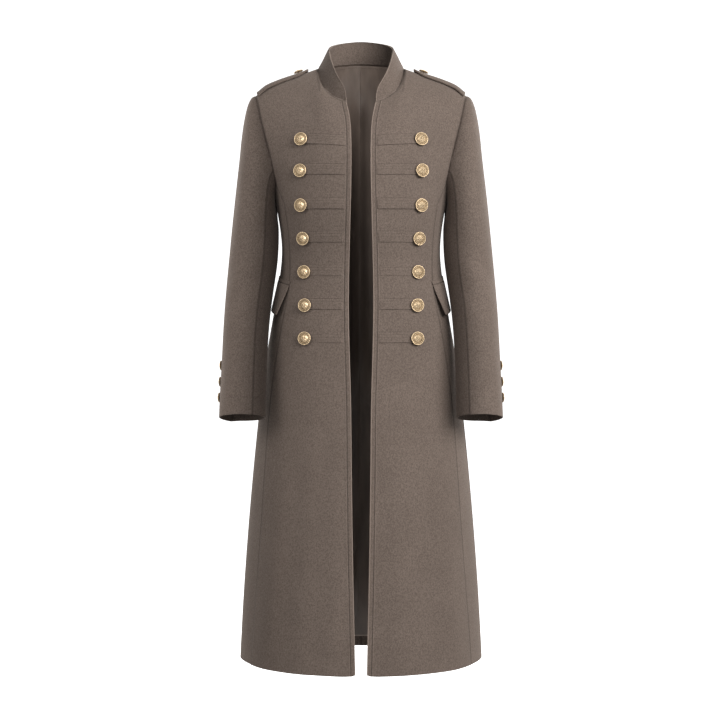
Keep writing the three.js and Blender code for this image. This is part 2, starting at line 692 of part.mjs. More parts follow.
// Tapes lie on the front, from under the button to the topstitching of the front edge
function makeTape(front, { x, z, drop }) {
  const heights = [z - TAPE_BELOW, z + (TAPE_ABOVE - TAPE_BELOW) / 2, z + TAPE_ABOVE];
  const grid = makeGrid(heights.length, TAPE_STEPS + 1, (i, j) => {
    const start = smooth(FRONT_EDGE, 'z', 'x', heights[i]) + TAPE_FROM_EDGE;
    const share = j / TAPE_STEPS;
    const place = placeOn([front], 'x', 'z', start + (x - start) * share, heights[i] - drop * (1 - share));
    return place.p.addScaledVector(place.n, TAPE_LIFT + TAPE_WALL);
  });
  return setNormals(grid, new THREE.Vector3(0, -1, 0));
}

// Strap over the shoulder seam, from the armhole to a pointed end by the collar
function makeStrap(shoulders) {
  const grid = makeGrid(STRAP.length, STRAP_ACROSS.length, (i, j) => {
    const { x, half, bow, lift } = STRAP[i];
    const share = STRAP_ACROSS[j];
    const place = placeOn(shoulders, 'x', 'y', x - bow * share ** 2, half * share);
    place.p.z += lift + STRAP_LIFT;
    return place.p.addScaledVector(place.n, LIFT + STRAP_WALL);
  });
  return setNormals(grid, new THREE.Vector3(0, 0, 1));
}

// Place with its facing on a surface given by a height and a turn in degrees
function ringPlace(pointAt, z, turn) {
  const round = pointAt(z, turn + 1).sub(pointAt(z, turn - 1));
  const up = pointAt(z + 2, turn).sub(pointAt(z - 2, turn));
  return { p: pointAt(z, turn), n: round.cross(up).normalize() };
}

function flapPlace(t, down, away) {
  const turn = FLAP_FRONT_TURN + (FLAP_BACK_TURN - FLAP_FRONT_TURN) * t + (FLAP_LEAN * down) / FLAP_DEPTH;
  const onBody = (z, degrees) => bodyPoint(z, degrees * RADIANS);
  const { p, n } = ringPlace(onBody, FLAP_TOP_FRONT + FLAP_RISE * t - down, turn);
  return p.addScaledVector(n, away);
}

function makeFlap() {
  const rows = FLAP_STANDOFF.length;
  const grid = makeGrid(rows, FLAP_STEPS + 1, (i, j) => (
    flapPlace(j / FLAP_STEPS, (FLAP_DEPTH * i) / (rows - 1), FLAP_STANDOFF[i] + FLAP_WALL)));
  return setNormals(grid, new THREE.Vector3(1, 0, 0));
}

function makeWelt() {
  const heights = [-WELT_BOTTOM, -WELT_TOP];
  const grid = makeGrid(2, FLAP_STEPS + 1, (i, j) => (
    flapPlace(j / FLAP_STEPS, heights[i], WELT_STANDOFF + WELT_WALL)));
  return setNormals(grid, new THREE.Vector3(1, 0, 0));
}

// Lining inside the back, with a pleat folded down its middle
function makeLining() {
  const place = (row, across) => {
    const u = Math.abs(across);
    const p = backPoint(row, u);
    const round = backPoint(row, u + 0.01).sub(backPoint(row, Math.max(u - 0.01, 0)));
    const up = backPoint(row + 0.5, u).sub(backPoint(row - 0.2, u));
    const n = up.cross(round).normalize();
    if (across < 0) return { p: mirrorVector(p), n: mirrorVector(n) };
    return { p, n };
  };
  const grid = makeGrid(LINING_ROWS.length, LINING_COLUMNS.length, (i, j) => {
    const { across, rise } = LINING_COLUMNS[j];
    const { p, n } = place(LINING_ROWS[i].place, across);
    return p.addScaledVector(n, -(WALL + LINING_CLEARANCE + LINING_ROWS[i].inset + rise));
  });
  return setNormals(grid, new THREE.Vector3(-0.2, 1, 0));
}

// Button: a domed face in a raised rim on a short shank, turned round its own axis
function buttonGeometry({ radius, shank, steps }) {
  const profile = [
    [0, -shank],
    [SHANK_RADIUS, -shank],
    [SHANK_RADIUS, 0],
    [0.8 * radius, 0],
    [0.97 * radius, 0.1 * radius],
    [radius, 0.24 * radius],
    [0.9 * radius, 0.34 * radius],
    [0.8 * radius, 0.28 * radius],
    [0.5 * radius, 0.46 * radius],
    [0, 0.54 * radius],
  ];
  return new THREE.LatheGeometry(profile.map(([r, h]) => new THREE.Vector2(r, h)), steps);
}

const coat = new THREE.Group();

function addWall(name, grid, wall, material) {
  const mesh = new THREE.Mesh(wallGeometry(grid, wall), material);
  mesh.name = name;
  coat.add(mesh);
}

// The shank stands on what the button is sewn to, and the face turns from there toward the front
function addButton(name, place, button) {
  const mesh = new THREE.Mesh(buttonGeometry(button), brass());
  mesh.name = name;
  const axis = place.n.clone().add(new THREE.Vector3(0, -button.frontward, 0)).normalize();
  mesh.position.copy(place.p).addScaledVector(place.n, button.away).addScaledVector(axis, button.shank);
  mesh.quaternion.setFromUnitVectors(new THREE.Vector3(0, 1, 0), axis);
  coat.add(mesh);
}

// The wearer's left half, its mirror image, and the collar across both
const front = makeFront();
const sideFront = makeSideFront();
const back = makeBack();
const sleeves = makeSleeves(front, sideFront, back);
const collar = makeCollar(front, back);
const leftHalf = {
  front,
  side_front: sideFront,
  back,
  sleeve_top: sleeves.top,
  sleeve_under: sleeves.under,
};
const mirrored = Object.entries(leftHalf).map(([name, grid]) => [name, mirrorGrid(grid)]);
const rightHalf = Object.fromEntries(mirrored);
shareNormals([...Object.values(leftHalf), ...Object.values(rightHalf), collar]);
const copyGrid = (grid) => grid.map((row) => row.map(({ p, n }) => ({ p: p.clone(), n: n.clone() })));
const wholeFront = copyGrid(front);
const shoulderTops = [wholeFront, copyGrid(back)].map((grid) => grid.slice(-STRAP_ROWS));

for (const [side, half] of [['left', leftHalf], ['right', rightHalf]]) {
  for (const [name, grid] of Object.entries(half)) {
    addWall(`${name}_${side}`, trimEdges(grid, SEAM_GAP), WALL, wool());
  }
}
addWall('collar_stand', trimEdges(collar, COLLAR_GAP), COLLAR_WALL, wool());
addWall('lining_back', makeLining(), LINING_WALL, satin());

const mirrorPlace = ({ p, n }) => ({ p: mirrorVector(p), n: mirrorVector(n) });
const keep = (thing) => thing;

for (const [side, mirror, mirrorWall] of [['left', keep, keep], ['right', mirrorPlace, mirrorGrid]]) {
  FRONT_BUTTONS.forEach((button, k) => {
    addWall(`tape_${side}_${k + 1}`, mirrorWall(makeTape(wholeFront, button)), TAPE_WALL, wool());
    const place = mirror(placeOn([wholeFront], 'x', 'z', button.x, button.z));
    addButton(`button_${side}_${k + 1}`, place, FRONT_BUTTON);
  });
  const strap = makeStrap(shoulderTops);
  addWall(`shoulder_strap_${side}`, mirrorWall(strap), STRAP_WALL, wool());
  addButton(`shoulder_button_${side}`, mirror(placeOn([strap], 'x', 'y', STRAP_BUTTON_X, 0)), SMALL_BUTTON);
  CUFF_BUTTON_HEIGHTS.forEach((z, k) => {
    const { p, n } = ringPlace(ringPoint, z, CUFF_BUTTON_TURN);
    addButton(`cuff_button_${side}_${k + 1}`, mirror({ p, n: n.negate() }), SMALL_BUTTON);
  });
  addWall(`pocket_flap_${side}`, mirrorWall(makeFlap()), FLAP_WALL, wool());
  addWall(`pocket_welt_${side}`, mirrorWall(makeWelt()), WELT_WALL, wool());
}

export default coat;
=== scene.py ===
import json
import math

import bmesh
import bpy
import numpy as np
from bpy.props import FloatProperty, FloatVectorProperty, IntProperty, PointerProperty
from mathutils import Matrix, Vector
from mathutils.bvhtree import BVHTree
from mathutils.kdtree import KDTree

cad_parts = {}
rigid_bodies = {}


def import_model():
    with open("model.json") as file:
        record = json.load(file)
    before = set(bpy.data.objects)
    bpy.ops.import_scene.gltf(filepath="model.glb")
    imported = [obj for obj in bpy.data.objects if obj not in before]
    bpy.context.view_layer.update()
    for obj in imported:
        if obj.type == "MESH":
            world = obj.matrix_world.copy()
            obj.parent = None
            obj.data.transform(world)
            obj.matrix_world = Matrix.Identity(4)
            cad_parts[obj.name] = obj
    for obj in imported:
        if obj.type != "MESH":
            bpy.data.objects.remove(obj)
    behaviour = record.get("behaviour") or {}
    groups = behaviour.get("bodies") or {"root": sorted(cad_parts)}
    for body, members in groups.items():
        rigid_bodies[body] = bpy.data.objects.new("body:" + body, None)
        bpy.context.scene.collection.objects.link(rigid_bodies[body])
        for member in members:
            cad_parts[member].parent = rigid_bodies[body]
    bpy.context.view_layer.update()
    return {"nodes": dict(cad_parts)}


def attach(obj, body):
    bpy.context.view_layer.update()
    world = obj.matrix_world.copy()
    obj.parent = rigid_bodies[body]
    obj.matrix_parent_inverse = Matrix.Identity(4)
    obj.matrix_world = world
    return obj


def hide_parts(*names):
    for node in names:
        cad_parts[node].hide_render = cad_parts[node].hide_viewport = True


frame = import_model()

bl_info = {
    "name": "Military greatcoat",
    "version": (1, 0, 0),
    "blender": (4, 5, 0),
    "location": "View3D > Sidebar > Greatcoat",
    "description": "Dresses the greatcoat's cut pieces in wool cloth, satin lining and gold buttons",
    "category": "Object",
}

MM = 0.001
# How far a rolled edge reaches towards the piece it is sewn to, so that no light shows between them
SEAM_CLOSING = 0.16 * MM

# Soft folds in millimetres: from one point to another on the cloth, across and up. A trough has a
# negative depth. Side is 1 for the wearer's left half and -1 for the right half.
FRONT_FOLDS = [
    # side, x1, z1, x2, z2, depth, width
    (1, 96, -520, 128, -1087, -2.2, 26),
    (1, 56, -600, 66, -1087, 1.6, 22),
    (1, 124, -640, 168, -1087, 2.2, 20),
    (1, 76, -760, 92, -1087, -1.2, 14),
    (1, 60, -150, 128, -262, -1.0, 16),
    (1, 88, -330, 118, -420, -1.3, 20),
    (1, 120, -95, 90, -210, 1.2, 24),
    (1, 40, -470, 112, -540, -0.8, 18),
    (-1, 104, -540, 140, -1087, -1.8, 24),
    (-1, 62, -560, 84, -1087, -1.5, 20),
    (-1, 40, -700, 46, -1087, 1.2, 18),
    (-1, 128, -700, 176, -1087, 2.0, 18),
    (-1, 78, -120, 132, -250, -1.2, 18),
    (-1, 112, -90, 84, -190, 1.3, 22),
    (-1, 84, -345, 120, -405, -1.5, 18),
    (-1, 30, -395, 96, -430, -0.7, 16),
]
SIDE_FOLDS = [
    (1, 182, -520, 202, -1000, -1.4, 14),
    (1, 140, -350, 150, -470, -1.0, 14),
    (-1, 176, -560, 198, -1087, -1.2, 13),
    (-1, 142, -330, 148, -440, -1.2, 14),
]
BACK_FOLDS = [
    (1, 70, -430, 104, -1087, -3.2, 28),
    (1, 34, -520, 40, -1087, 2.2, 20),
    (1, 122, -560, 158, -1087, 2.8, 24),
    (1, 96, -700, 132, -1087, -2.4, 16),
    (1, 40, -330, 122, -372, -1.8, 14),
    (1, 64, -300, 130, -318, 1.2, 12),
    (1, 60, -90, 150, -190, -1.8, 22),
    (1, 52, -385, 118, -410, -1.4, 12),
    (-1, 62, -470, 88, -1087, -2.8, 26),
    (-1, 28, -600, 30, -1087, 1.8, 18),
    (-1, 116, -500, 166, -1087, 3.0, 26),
    (-1, 92, -640, 118, -1087, -2.2, 17),
    (-1, 34, -345, 128, -360, -2.0, 15),
    (-1, 70, -305, 126, -330, 1.4, 13),
    (-1, 66, -80, 146, -170, -1.6, 20),
    (-1, 48, -398, 108, -404, -1.1, 11),
]
# Sleeve folds: turn is in millimetres round the arm from the outer silhouette, forward positive
SLEEVE_FOLDS = [
    (1, 10, -120, 34, -260, -1.2, 16),
    (1, 96, -330, 44, -392, -2.0, 14),
    (1, 104, -372, 40, -420, 1.5, 12),
    (1, 98, -420, 52, -452, -1.6, 12),
    (1, -60, -300, -20, -380, -1.6, 15),
    (1, -96, -420, -40, -440, -1.4, 13),
    (1, 30, -470, 24, -640, -1.0, 18),
    (-1, 14, -140, 40, -300, -1.4, 18),
    (-1, 100, -318, 36, -374, -1.8, 14),
    (-1, 102, -366, 46, -398, 1.3, 12),
    (-1, 96, -404, 40, -446, -1.9, 13),
    (-1, -54, -310, -16, -404, -1.5, 15),
    (-1, -92, -400, -30, -436, -1.2, 13),
    (-1, 22, -500, 34, -640, -1.1, 18),
]
# Lining folds, seen through the open front
LINING_FOLDS = [
    (1, 60, -60, 66, -560, 2.6, 14),
    (1, 24, -300, 30, -640, -1.6, 8),
    (1, 14, -800, -26, -1060, 7.0, 9),
    (1, 40, -760, 16, -900, 5.0, 10),
    (1, -12, -960, 20, -1040, 6.0, 7),
    (1, 96, -420, 120, -1060, 3.0, 20),
    (1, 70, -660, 84, -1060, -2.4, 16),
    (1, 12, -925, 44, -1062, 2.2, 8),
    (-1, 46, -90, 50, -520, 2.0, 12),
    (-1, 26, -660, 20, -1060, -2.2, 9),
    (-1, 100, -400, 116, -1060, 2.8, 20),
    (-1, 66, -640, 80, -1060, -2.2, 16),
]
# Centre pleat of the lining across: place in millimetres, how far it stands inwards
LINING_PLEAT = [(-34, 0), (-20, 2.5), (-8, 8), (-0.8, 11), (0.9, 0.5), (6.5, 0), (9, 6.5), (13, 7.5), (34, 0)]
LINING_TUCK = {"z": -641, "proud": 6.0, "above": 26, "below": 3}

# Arm's middle line: height, distance from the middle of the coat, distance towards the back
ARM_LINE = [
    (-650, 212, -85),
    (-600, 211.4, -77),
    (-504, 209, -53),
    (-400, 202, -22),
    (-300, 194.4, -8),
    (-200, 186, -2),
    (-60, 176, 0),
]
FRONT_EDGE_LINE = [
    (-1087, 9.8),
    (-991, 12),
    (-893, 14.1),
    (-727, 16.4),
    (-559, 19.1),
    (-492, 21.2),
    (-425, 21.9),
    (-356, 20.6),
    (-226, 17.3),
    (-160, 16.9),
    (-111, 19.1),
    (-75, 26.1),
]
# Stitching round a shoulder strap, from the armhole to the neck end: distance from the middle, half width
STRAP_STITCHES = [(190, 16.8), (128, 16.8), (113.5, 15.6), (106.5, 9.5), (103, 0)]
BUTTON_PROFILE = [
    # share of the radius, share of the height, how deep in the recess
    (0.20, 0.00, 0.6),
    (0.20, 0.24, 0.9),
    (0.60, 0.26, 0.9),
    (0.90, 0.27, 0.6),
    (0.975, 0.31, 0.2),
    (1.00, 0.40, 0.0),
    (0.985, 0.49, 0.0),
    (0.94, 0.545, 0.0),
    (0.895, 0.53, 0.2),
    (0.86, 0.475, 0.8),
    (0.83, 0.455, 1.0),
    (0.80, 0.475, 0.8),
    (0.765, 0.535, 0.1),
    (0.725, 0.555, 0.0),
    (0.685, 0.535, 0.1),
    (0.65, 0.485, 0.8),
    (0.625, 0.475, 1.0),
    (0.60, 0.50, 0.7),
    (0.57, 0.58, 0.2),
    (0.51, 0.68, 0.1),
    (0.43, 0.775, 0.1),
    (0.34, 0.86, 0.1),
    (0.24, 0.925, 0.1),
    (0.14, 0.968, 0.1),
    (0.06, 0.99, 0.1),
    (0.00, 1.00, 0.1),
]


LIGHTS = [
    # name, place, size, share of the main light's power, and the pieces it lights
    ("Main light", (2.2, -1.5, 0.5), 1.3, 1.0, "all but right arm"),
    ("Front light", (1.3, -2.3, 0.5), 1.3, 0.75, "all but right arm"),
    ("Second light", (-2.2, -1.5, 0.5), 1.3, 0.5, "all but left arm and collar"),
    ("Arm light", (-1.5, -2.0, 0.0), 1.3, 0.36, "right arm"),
    ("Neck light", (-0.10, -0.55, 0.30), 0.2, 0.07, "lining"),
    ("Top light", (0.0, -1.6, 1.7), 1.2, 0.14, "all"),
    ("Right cuff light", (1.2, -2.3, -0.3), 1.2, 0.4, "cuff_button_right"),
    ("Left cuff light", (-1.2, -2.3, -0.3), 1.2, 0.4, "cuff_button_left"),
    ("Strap button light", (0.0, -2.2, -1.0), 1.0, 0.4, "shoulder_button"),
    ("Rear light", (1.9, 2.0, 0.9), 1.2, 1.05, "all"),
    ("Second rear light", (-1.9, 2.1, 0.6), 1.2, 0.85, "all"),
]


class WoolSettings(bpy.types.PropertyGroup):
    """Colours and finish of the wool cloth"""

    dark: FloatVectorProperty(name="Dark fibre", description="The darker fibres of the mixed yarn",
                              subtype="COLOR", size=3, min=0, max=1, default=(0.112, 0.086, 0.072))
    light: FloatVectorProperty(name="Light fibre", description="The lighter fibres of the mixed yarn",
                               subtype="COLOR", size=3, min=0, max=1, default=(0.190, 0.150, 0.127))
    nap: FloatProperty(name="Nap", description="How far the brushed fibres stand up",
                       subtype="DISTANCE", unit="LENGTH", min=0, max=0.002, default=0.00035)
    rolled_edge: FloatProperty(name="Rolled edge", description="Extra thickness along the front edges",
                               subtype="DISTANCE", unit="LENGTH", min=0, max=0.003, default=0.0009)


class LiningSettings(bpy.types.PropertyGroup):
    """Colour and finish of the satin lining"""

    colour: FloatVectorProperty(name="Satin", description="Colour of the satin",
                                subtype="COLOR", size=3, min=0, max=1, default=(0.128, 0.098, 0.081))
    gloss: FloatProperty(name="Roughness", description="Roughness of the satin",
                         subtype="FACTOR", min=0, max=1, default=0.42)


class ButtonSettings(bpy.types.PropertyGroup):
    """Colour and pattern of the buttons"""

    gold: FloatVectorProperty(name="Gold", description="Colour of the raised metal",
                              subtype="COLOR", size=3, min=0, max=1, default=(0.72, 0.55, 0.35))
    worn: FloatVectorProperty(name="Recess", description="Darker colour left in the recesses",
                              subtype="COLOR", size=3, min=0, max=1, default=(0.085, 0.055, 0.028))
    petals: IntProperty(name="Petals", description="Petals of the rosette on the dome",
                        min=3, max=16, default=8)
    rope: IntProperty(name="Rope turns", description="Turns of the roped ring",
                      min=8, max=48, default=24)


class StageSettings(bpy.types.PropertyGroup):
    """Camera, floor and lights"""

    floor: FloatProperty(name="Floor height", description="Height of the floor under the wearer's feet",
                         subtype="DISTANCE", unit="LENGTH", default=-1.45)
    daylight: FloatProperty(name="Surrounding light", description="Strength of the pale surroundings",
                            min=0, max=4, default=0.235)
    power: FloatProperty(name="Main light", description="Power of the large light on the right",
                         subtype="POWER", unit="POWER", min=0, max=500, default=48)
    glow: FloatProperty(name="Floor glow", description="Light that the white floor and backdrop give back",
                        min=0, max=2, default=0.05)


# Helpers for the shape of the coat


def ease(share):
    """A smooth step from 0 to 1."""
    share = np.clip(share, 0, 1)
    return share * share * (3 - 2 * share)


def table_at(rows, height, column):
    """A column of a table at a height, read between its rows."""
    heights = np.array([row[0] for row in rows]) * MM
    values = np.array([row[column] for row in rows]) * MM
    return np.interp(height, heights, values)


def body_out(points):
    """The way out of the coat's body at each point."""
    out = np.stack([points[:, 0] / 0.030, points[:, 1] / 0.012, np.zeros(len(points))], axis=1)
    out /= np.linalg.norm(out, axis=1, keepdims=True) + 1e-9
    up = np.clip((points[:, 2] + 0.16) / 0.16, 0, 1)[:, None]
    out = out * (1 - 0.8 * up) + np.array([0, 0, 1.0]) * up
    return out / np.linalg.norm(out, axis=1, keepdims=True)


def arm_out(points):
    """The way out of the sleeve at each point."""
    side = np.sign(points[:, 0])
    middle_x = table_at(ARM_LINE, points[:, 2], 1) * side
    middle_y = table_at(ARM_LINE, points[:, 2], 2)
    out = np.stack([points[:, 0] - middle_x, points[:, 1] - middle_y, np.zeros(len(points))], axis=1)
    out /= np.linalg.norm(out, axis=1, keepdims=True) + 1e-9
    up = np.clip((points[:, 2] + 0.12) / 0.12, 0, 1)[:, None]
    out = out * (1 - 0.6 * up) + np.array([0, 0, 1.0]) * up
    return out / np.linalg.norm(out, axis=1, keepdims=True)


def across_body(points):
    """Distance from the middle of the coat."""
    return np.abs(points[:, 0])


def round_arm(points):
    """Distance round the sleeve from its outer side, forward positive."""
    side = np.sign(points[:, 0])
    along_x = (points[:, 0] - table_at(ARM_LINE, points[:, 2], 1) * side) * side
    along_y = points[:, 1] - table_at(ARM_LINE, points[:, 2], 2)
    return np.arctan2(-along_y, along_x) * 0.052


def fold_depth(points, side, rows, across):
    """How far each point moves out of or into the cloth for the folds of one side."""
    place = across(points)
    height = points[:, 2]
    depth = np.zeros(len(points))
    for row_side, x1, z1, x2, z2, deep, width in rows:
        if row_side != side:
            continue
        start = np.array([x1, z1]) * MM
        run = np.array([x2, z2]) * MM - start
        length = np.linalg.norm(run)
        along = ((place - start[0]) * run[0] + (height - start[1]) * run[1]) / length
        apart = ((place - start[0]) * run[1] - (height - start[1]) * run[0]) / length
        share = np.clip(along / length, 0, 1)
        past = along - share * length
        reach = np.hypot(apart, past) / (width * MM)
        swell = np.minimum(1, np.minimum(share, 1.15 - share if z2 <= -1060 else 1 - share) * 3.2 + 0.15)
        wander = 1 + 0.18 * np.sin(share * 9 + x1)
        depth += deep * MM * swell * wander * np.exp(-reach ** 2)
    return depth


# Helpers for making and finishing pieces


def merged_copy(node):
    """A copy of a solid's wall, its loose triangles merged and paired into quads."""
    bm = bmesh.new()
    bm.from_mesh(frame["nodes"][node].data)
    bmesh.ops.remove_doubles(bm, verts=bm.verts, dist=2e-6)
    bmesh.ops.join_triangles(bm, faces=bm.faces, angle_face_threshold=math.radians(35),
                             angle_shape_threshold=math.radians(80))
    return bm


def rim_edges(bm, angle=50):
    """The sharp edges where a sheet's faces meet its cut edge."""
    bm.normal_update()
    return [e for e in bm.edges if len(e.link_faces) == 2 and e.calc_face_angle() > math.radians(angle)]


def rim_points(edges, keep, step=0.0015):
    """Points along the sharp edges that pass the test keep."""
    points = []
    for edge in edges:
        a, b = (v.co for v in edge.verts)
        if keep(((a + b) / 2)):
            count = max(2, int((b - a).length / step) + 1)
            points += [a.lerp(b, i / (count - 1)) for i in range(count)]
    return points


def distance_to(points, targets):
    """Distance from each point to the nearest target, or 1 m where there is none."""
    if not targets:
        return np.ones(len(points))
    tree = KDTree(len(targets))
    for i, target in enumerate(targets):
        tree.insert(target, i)
    tree.balance()
    return np.array([tree.find(p)[2] for p in points])


def mesh_points(mesh):
    points = np.empty(len(mesh.vertices) * 3)
    mesh.vertices.foreach_get("co", points)
    return points.reshape(-1, 3)


def mesh_normals(mesh):
    normals = np.empty(len(mesh.vertices) * 3)
    mesh.vertices.foreach_get("normal", normals)
    return normals.reshape(-1, 3)


def set_points(mesh, points):
    mesh.vertices.foreach_set("co", np.ascontiguousarray(points).ravel())
    mesh.update()


def set_values(mesh, name, values):
    """Stores one value a point for a material to read."""
    attribute = mesh.attributes.new(name, "FLOAT", "POINT")
    attribute.data.foreach_set("value", np.ascontiguousarray(values, dtype=np.float32))


def smoothed(bm, name, levels, edges, rolled_by):
    """The mesh of a bmesh with its cut edges rolled over, after subdivision."""
    bmesh.ops.bevel(bm, geom=edges, offset=rolled_by, offset_type="OFFSET", segments=2, profile=0.5,
                    affect="EDGES", material=-1, clamp_overlap=True, loop_slide=True)
    mesh = bpy.data.meshes.new(name + "_base")
    bm.to_mesh(mesh)
    bm.free()
    base = bpy.data.objects.new(name + "_base", mesh)
    bpy.context.scene.collection.objects.link(base)
    soften = base.modifiers.new("Soften", "SUBSURF")
    soften.levels = soften.render_levels = levels
    bpy.context.view_layer.update()
    shape = bpy.data.meshes.new_from_object(base.evaluated_get(bpy.context.evaluated_depsgraph_get()))
    bpy.data.objects.remove(base)
    bpy.data.meshes.remove(mesh)
    shape.name = name
    shape.shade_smooth()
    return shape


def place_piece(name, mesh, material, nodes):
    """Adds a finished mesh to the scene as a piece that stands for some solids."""
    piece = bpy.data.objects.new(name, mesh)
    bpy.context.scene.collection.objects.link(piece)
    mesh.materials.clear()
    mesh.materials.append(material)
    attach(piece, "root")
    if nodes:
        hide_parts(*nodes)
    return piece


def cloth_shell(node, rim, levels=2, folds=(), way=body_out, across=across_body,
                keep=lambda p: False, line_at=0.0078, rolled=0.0, lined=None, free=lambda p: True):
    """A cloth piece on a solid's wall: rolled cut edges, softened form and listed folds."""
    bm = merged_copy(node)
    edges = rim_edges(bm)
    stitched = rim_points(edges, keep)
    seams = rim_points(edges, lambda p: not free(p))
    mesh = smoothed(bm, node + "_cloth", levels, edges, rim)
    points = mesh_points(mesh)
    out = way(points)
    normals = mesh_normals(mesh)
    facing = np.sum(normals * out, axis=1)
    sideways = np.clip(1 - np.abs(facing) / 0.6, 0, 1)
    points = points + normals * (SEAM_CLOSING * sideways)[:, None]
    from_edge = distance_to(points, stitched)
    side = -1 if node.endswith("right") else 1
    moved = fold_depth(points, side, folds, across)
    if rolled:
        puff = np.clip(from_edge / line_at, 0, 1)
        moved += rolled * np.sin(puff * math.pi) ** 0.7 * (facing > 0) * (from_edge < line_at)
    set_points(mesh, points + out * moved[:, None])
    set_values(mesh, "from_edge", from_edge)
    set_values(mesh, "from_seam", distance_to(points, seams))
    if lined is None:
        set_values(mesh, "lined", -np.ones(len(points)))
    else:
        set_values(mesh, "lined", np.where(facing < -0.15, lined(points), -1.0))
    return mesh


def place_stitches(name, stops, material, length=0.0025, thick=0.28 * MM):
    """Small threads of a row of stitches, each lying at a place on the cloth and along the row."""
    bm = bmesh.new()
    for i, (place, normal) in enumerate(stops):
        if place is None:
            continue
        ahead = stops[min(i + 1, len(stops) - 1)][0]
        behind = stops[max(i - 1, 0)][0]
        if ahead is None or behind is None:
            continue
        along = (ahead - behind).normalized()
        normal = (normal - along * normal.dot(along)).normalized()
        turn = Matrix((along, normal.cross(along), normal)).transposed().to_4x4()
        shape = Matrix.Diagonal((length / 2, thick, 0.85 * thick, 1))
        bmesh.ops.create_uvsphere(bm, u_segments=6, v_segments=4, radius=1.0,
                                  matrix=Matrix.Translation(place + normal * 0.02 * MM) @ turn @ shape)
    mesh = bpy.data.meshes.new(name)
    bm.to_mesh(mesh)
    bm.free()
    mesh.shade_smooth()
    return place_piece(name, mesh, material, [])


def node_axis(node, towards):
    """Middle of the back, way out, radius and height of a button's solid."""
    points = mesh_points(frame["nodes"][node].data)
    middle = (points.max(axis=0) + points.min(axis=0)) / 2
    spread = points - points.mean(axis=0)
    values, vectors = np.linalg.eigh(spread.T @ spread)
    axis = vectors[:, 0]
    if np.dot(axis, towards) < 0:
        axis = -axis
    along = (points - middle) @ axis
    flat = (points - middle) - np.outer(along, axis)
    centre = middle + (flat.max(axis=0) + flat.min(axis=0)) / 2
    radius = np.linalg.norm((points - centre) - np.outer((points - centre) @ axis, axis), axis=1).max()
    along = (points - centre) @ axis
    back = centre + axis * along.min()
    return Vector(back), Vector(axis), float(radius), float(along.max() - along.min())


# Materials


def new_group(name, inputs, outputs):
    group = bpy.data.node_groups.new(name, "ShaderNodeTree")
    for label, kind, value in inputs:
        socket = group.interface.new_socket(name=label, in_out="INPUT", socket_type=kind)
        socket.default_value = value
    for label, kind in outputs:
        group.interface.new_socket(name=label, in_out="OUTPUT", socket_type=kind)
    return group, group.nodes.new("NodeGroupInput"), group.nodes.new("NodeGroupOutput")


class NodeBench:
    """Shorthand for adding and joining shader nodes in one tree."""

    def __init__(self, tree):
        self.tree = tree

    def add(self, kind, **settings):
        node = self.tree.nodes.new(kind)
        for key, value in settings.items():
            setattr(node, key, value)
        return node

    def join(self, out, into):
        self.tree.links.new(out, into)

    def math(self, operation, a, b=None, clamp=False):
        node = self.add("ShaderNodeMath", operation=operation, use_clamp=clamp)
        for socket, value in zip(node.inputs, (a, b)):
            if value is None:
                continue
            if isinstance(value, (int, float)):
                socket.default_value = value
            else:
                self.join(value, socket)
        return node.outputs[0]

    def noise(self, vector, scale, detail=2.0, roughness=0.5, stretch=None):
        if stretch:
            squeeze = self.add("ShaderNodeMapping")
            squeeze.inputs["Scale"].default_value = stretch
            self.join(vector, squeeze.inputs["Vector"])
            vector = squeeze.outputs["Vector"]
        node = self.add("ShaderNodeTexNoise")
        node.inputs["Scale"].default_value = scale
        node.inputs["Detail"].default_value = detail
        node.inputs["Roughness"].default_value = roughness
        self.join(vector, node.inputs["Vector"])
        return node.outputs["Fac"]

    def ramp(self, value, low, high, to_low=0.0, to_high=1.0, smooth=True):
        node = self.add("ShaderNodeMapRange", interpolation_type="SMOOTHSTEP" if smooth else "LINEAR")
        self.join(value, node.inputs["Value"])
        for label, number in (("From Min", low), ("From Max", high), ("To Min", to_low), ("To Max", to_high)):
            node.inputs[label].default_value = number
        return node.outputs["Result"]

    def blend(self, mask, a, b, kind="MIX"):
        node = self.add("ShaderNodeMix", data_type="RGBA", blend_type=kind)
        if isinstance(mask, (int, float)):
            node.inputs["Factor"].default_value = mask
        else:
            self.join(mask, node.inputs["Factor"])
        for label, value in (("A", a), ("B", b)):
            socket = [s for s in node.inputs if s.name == label and s.type == "RGBA"][0]
            if isinstance(value, (tuple, list)):
                socket.default_value = (*value[:3], 1)
            else:
                self.join(value, socket)
        return [s for s in node.outputs if s.type == "RGBA"][0]


def woven_group():
    """Melange colour and fibre height of milled wool cloth, from Object coordinates."""
    group, given, made = new_group(
        "Milled wool", [("Vector", "NodeSocketVector", (0, 0, 0))],
        [("Melange", "NodeSocketFloat"), ("Fibre", "NodeSocketFloat"), ("Cloud", "NodeSocketFloat")])
    bench = NodeBench(group)
    where = given.outputs["Vector"]
    yarn = bench.noise(where, 900, detail=3, roughness=0.62, stretch=(1, 1, 0.6))
    fleck = bench.noise(where, 430, detail=2, roughness=0.6, stretch=(1, 1, 0.75))
    hair = bench.noise(where, 1700, detail=2, roughness=0.7, stretch=(1, 1, 0.3))
    cloud = bench.noise(where, 16, detail=3, roughness=0.55)
    mixed = bench.math("ADD", bench.math("MULTIPLY", yarn, 0.55), bench.math("MULTIPLY", fleck, 0.45))
    bench.join(bench.ramp(mixed, 0.36, 0.64), made.inputs["Melange"])
    bench.join(bench.math("ADD", bench.math("MULTIPLY", hair, 0.45), bench.math("MULTIPLY", yarn, 0.55)),
               made.inputs["Fibre"])
    bench.join(cloud, made.inputs["Cloud"])
    return group


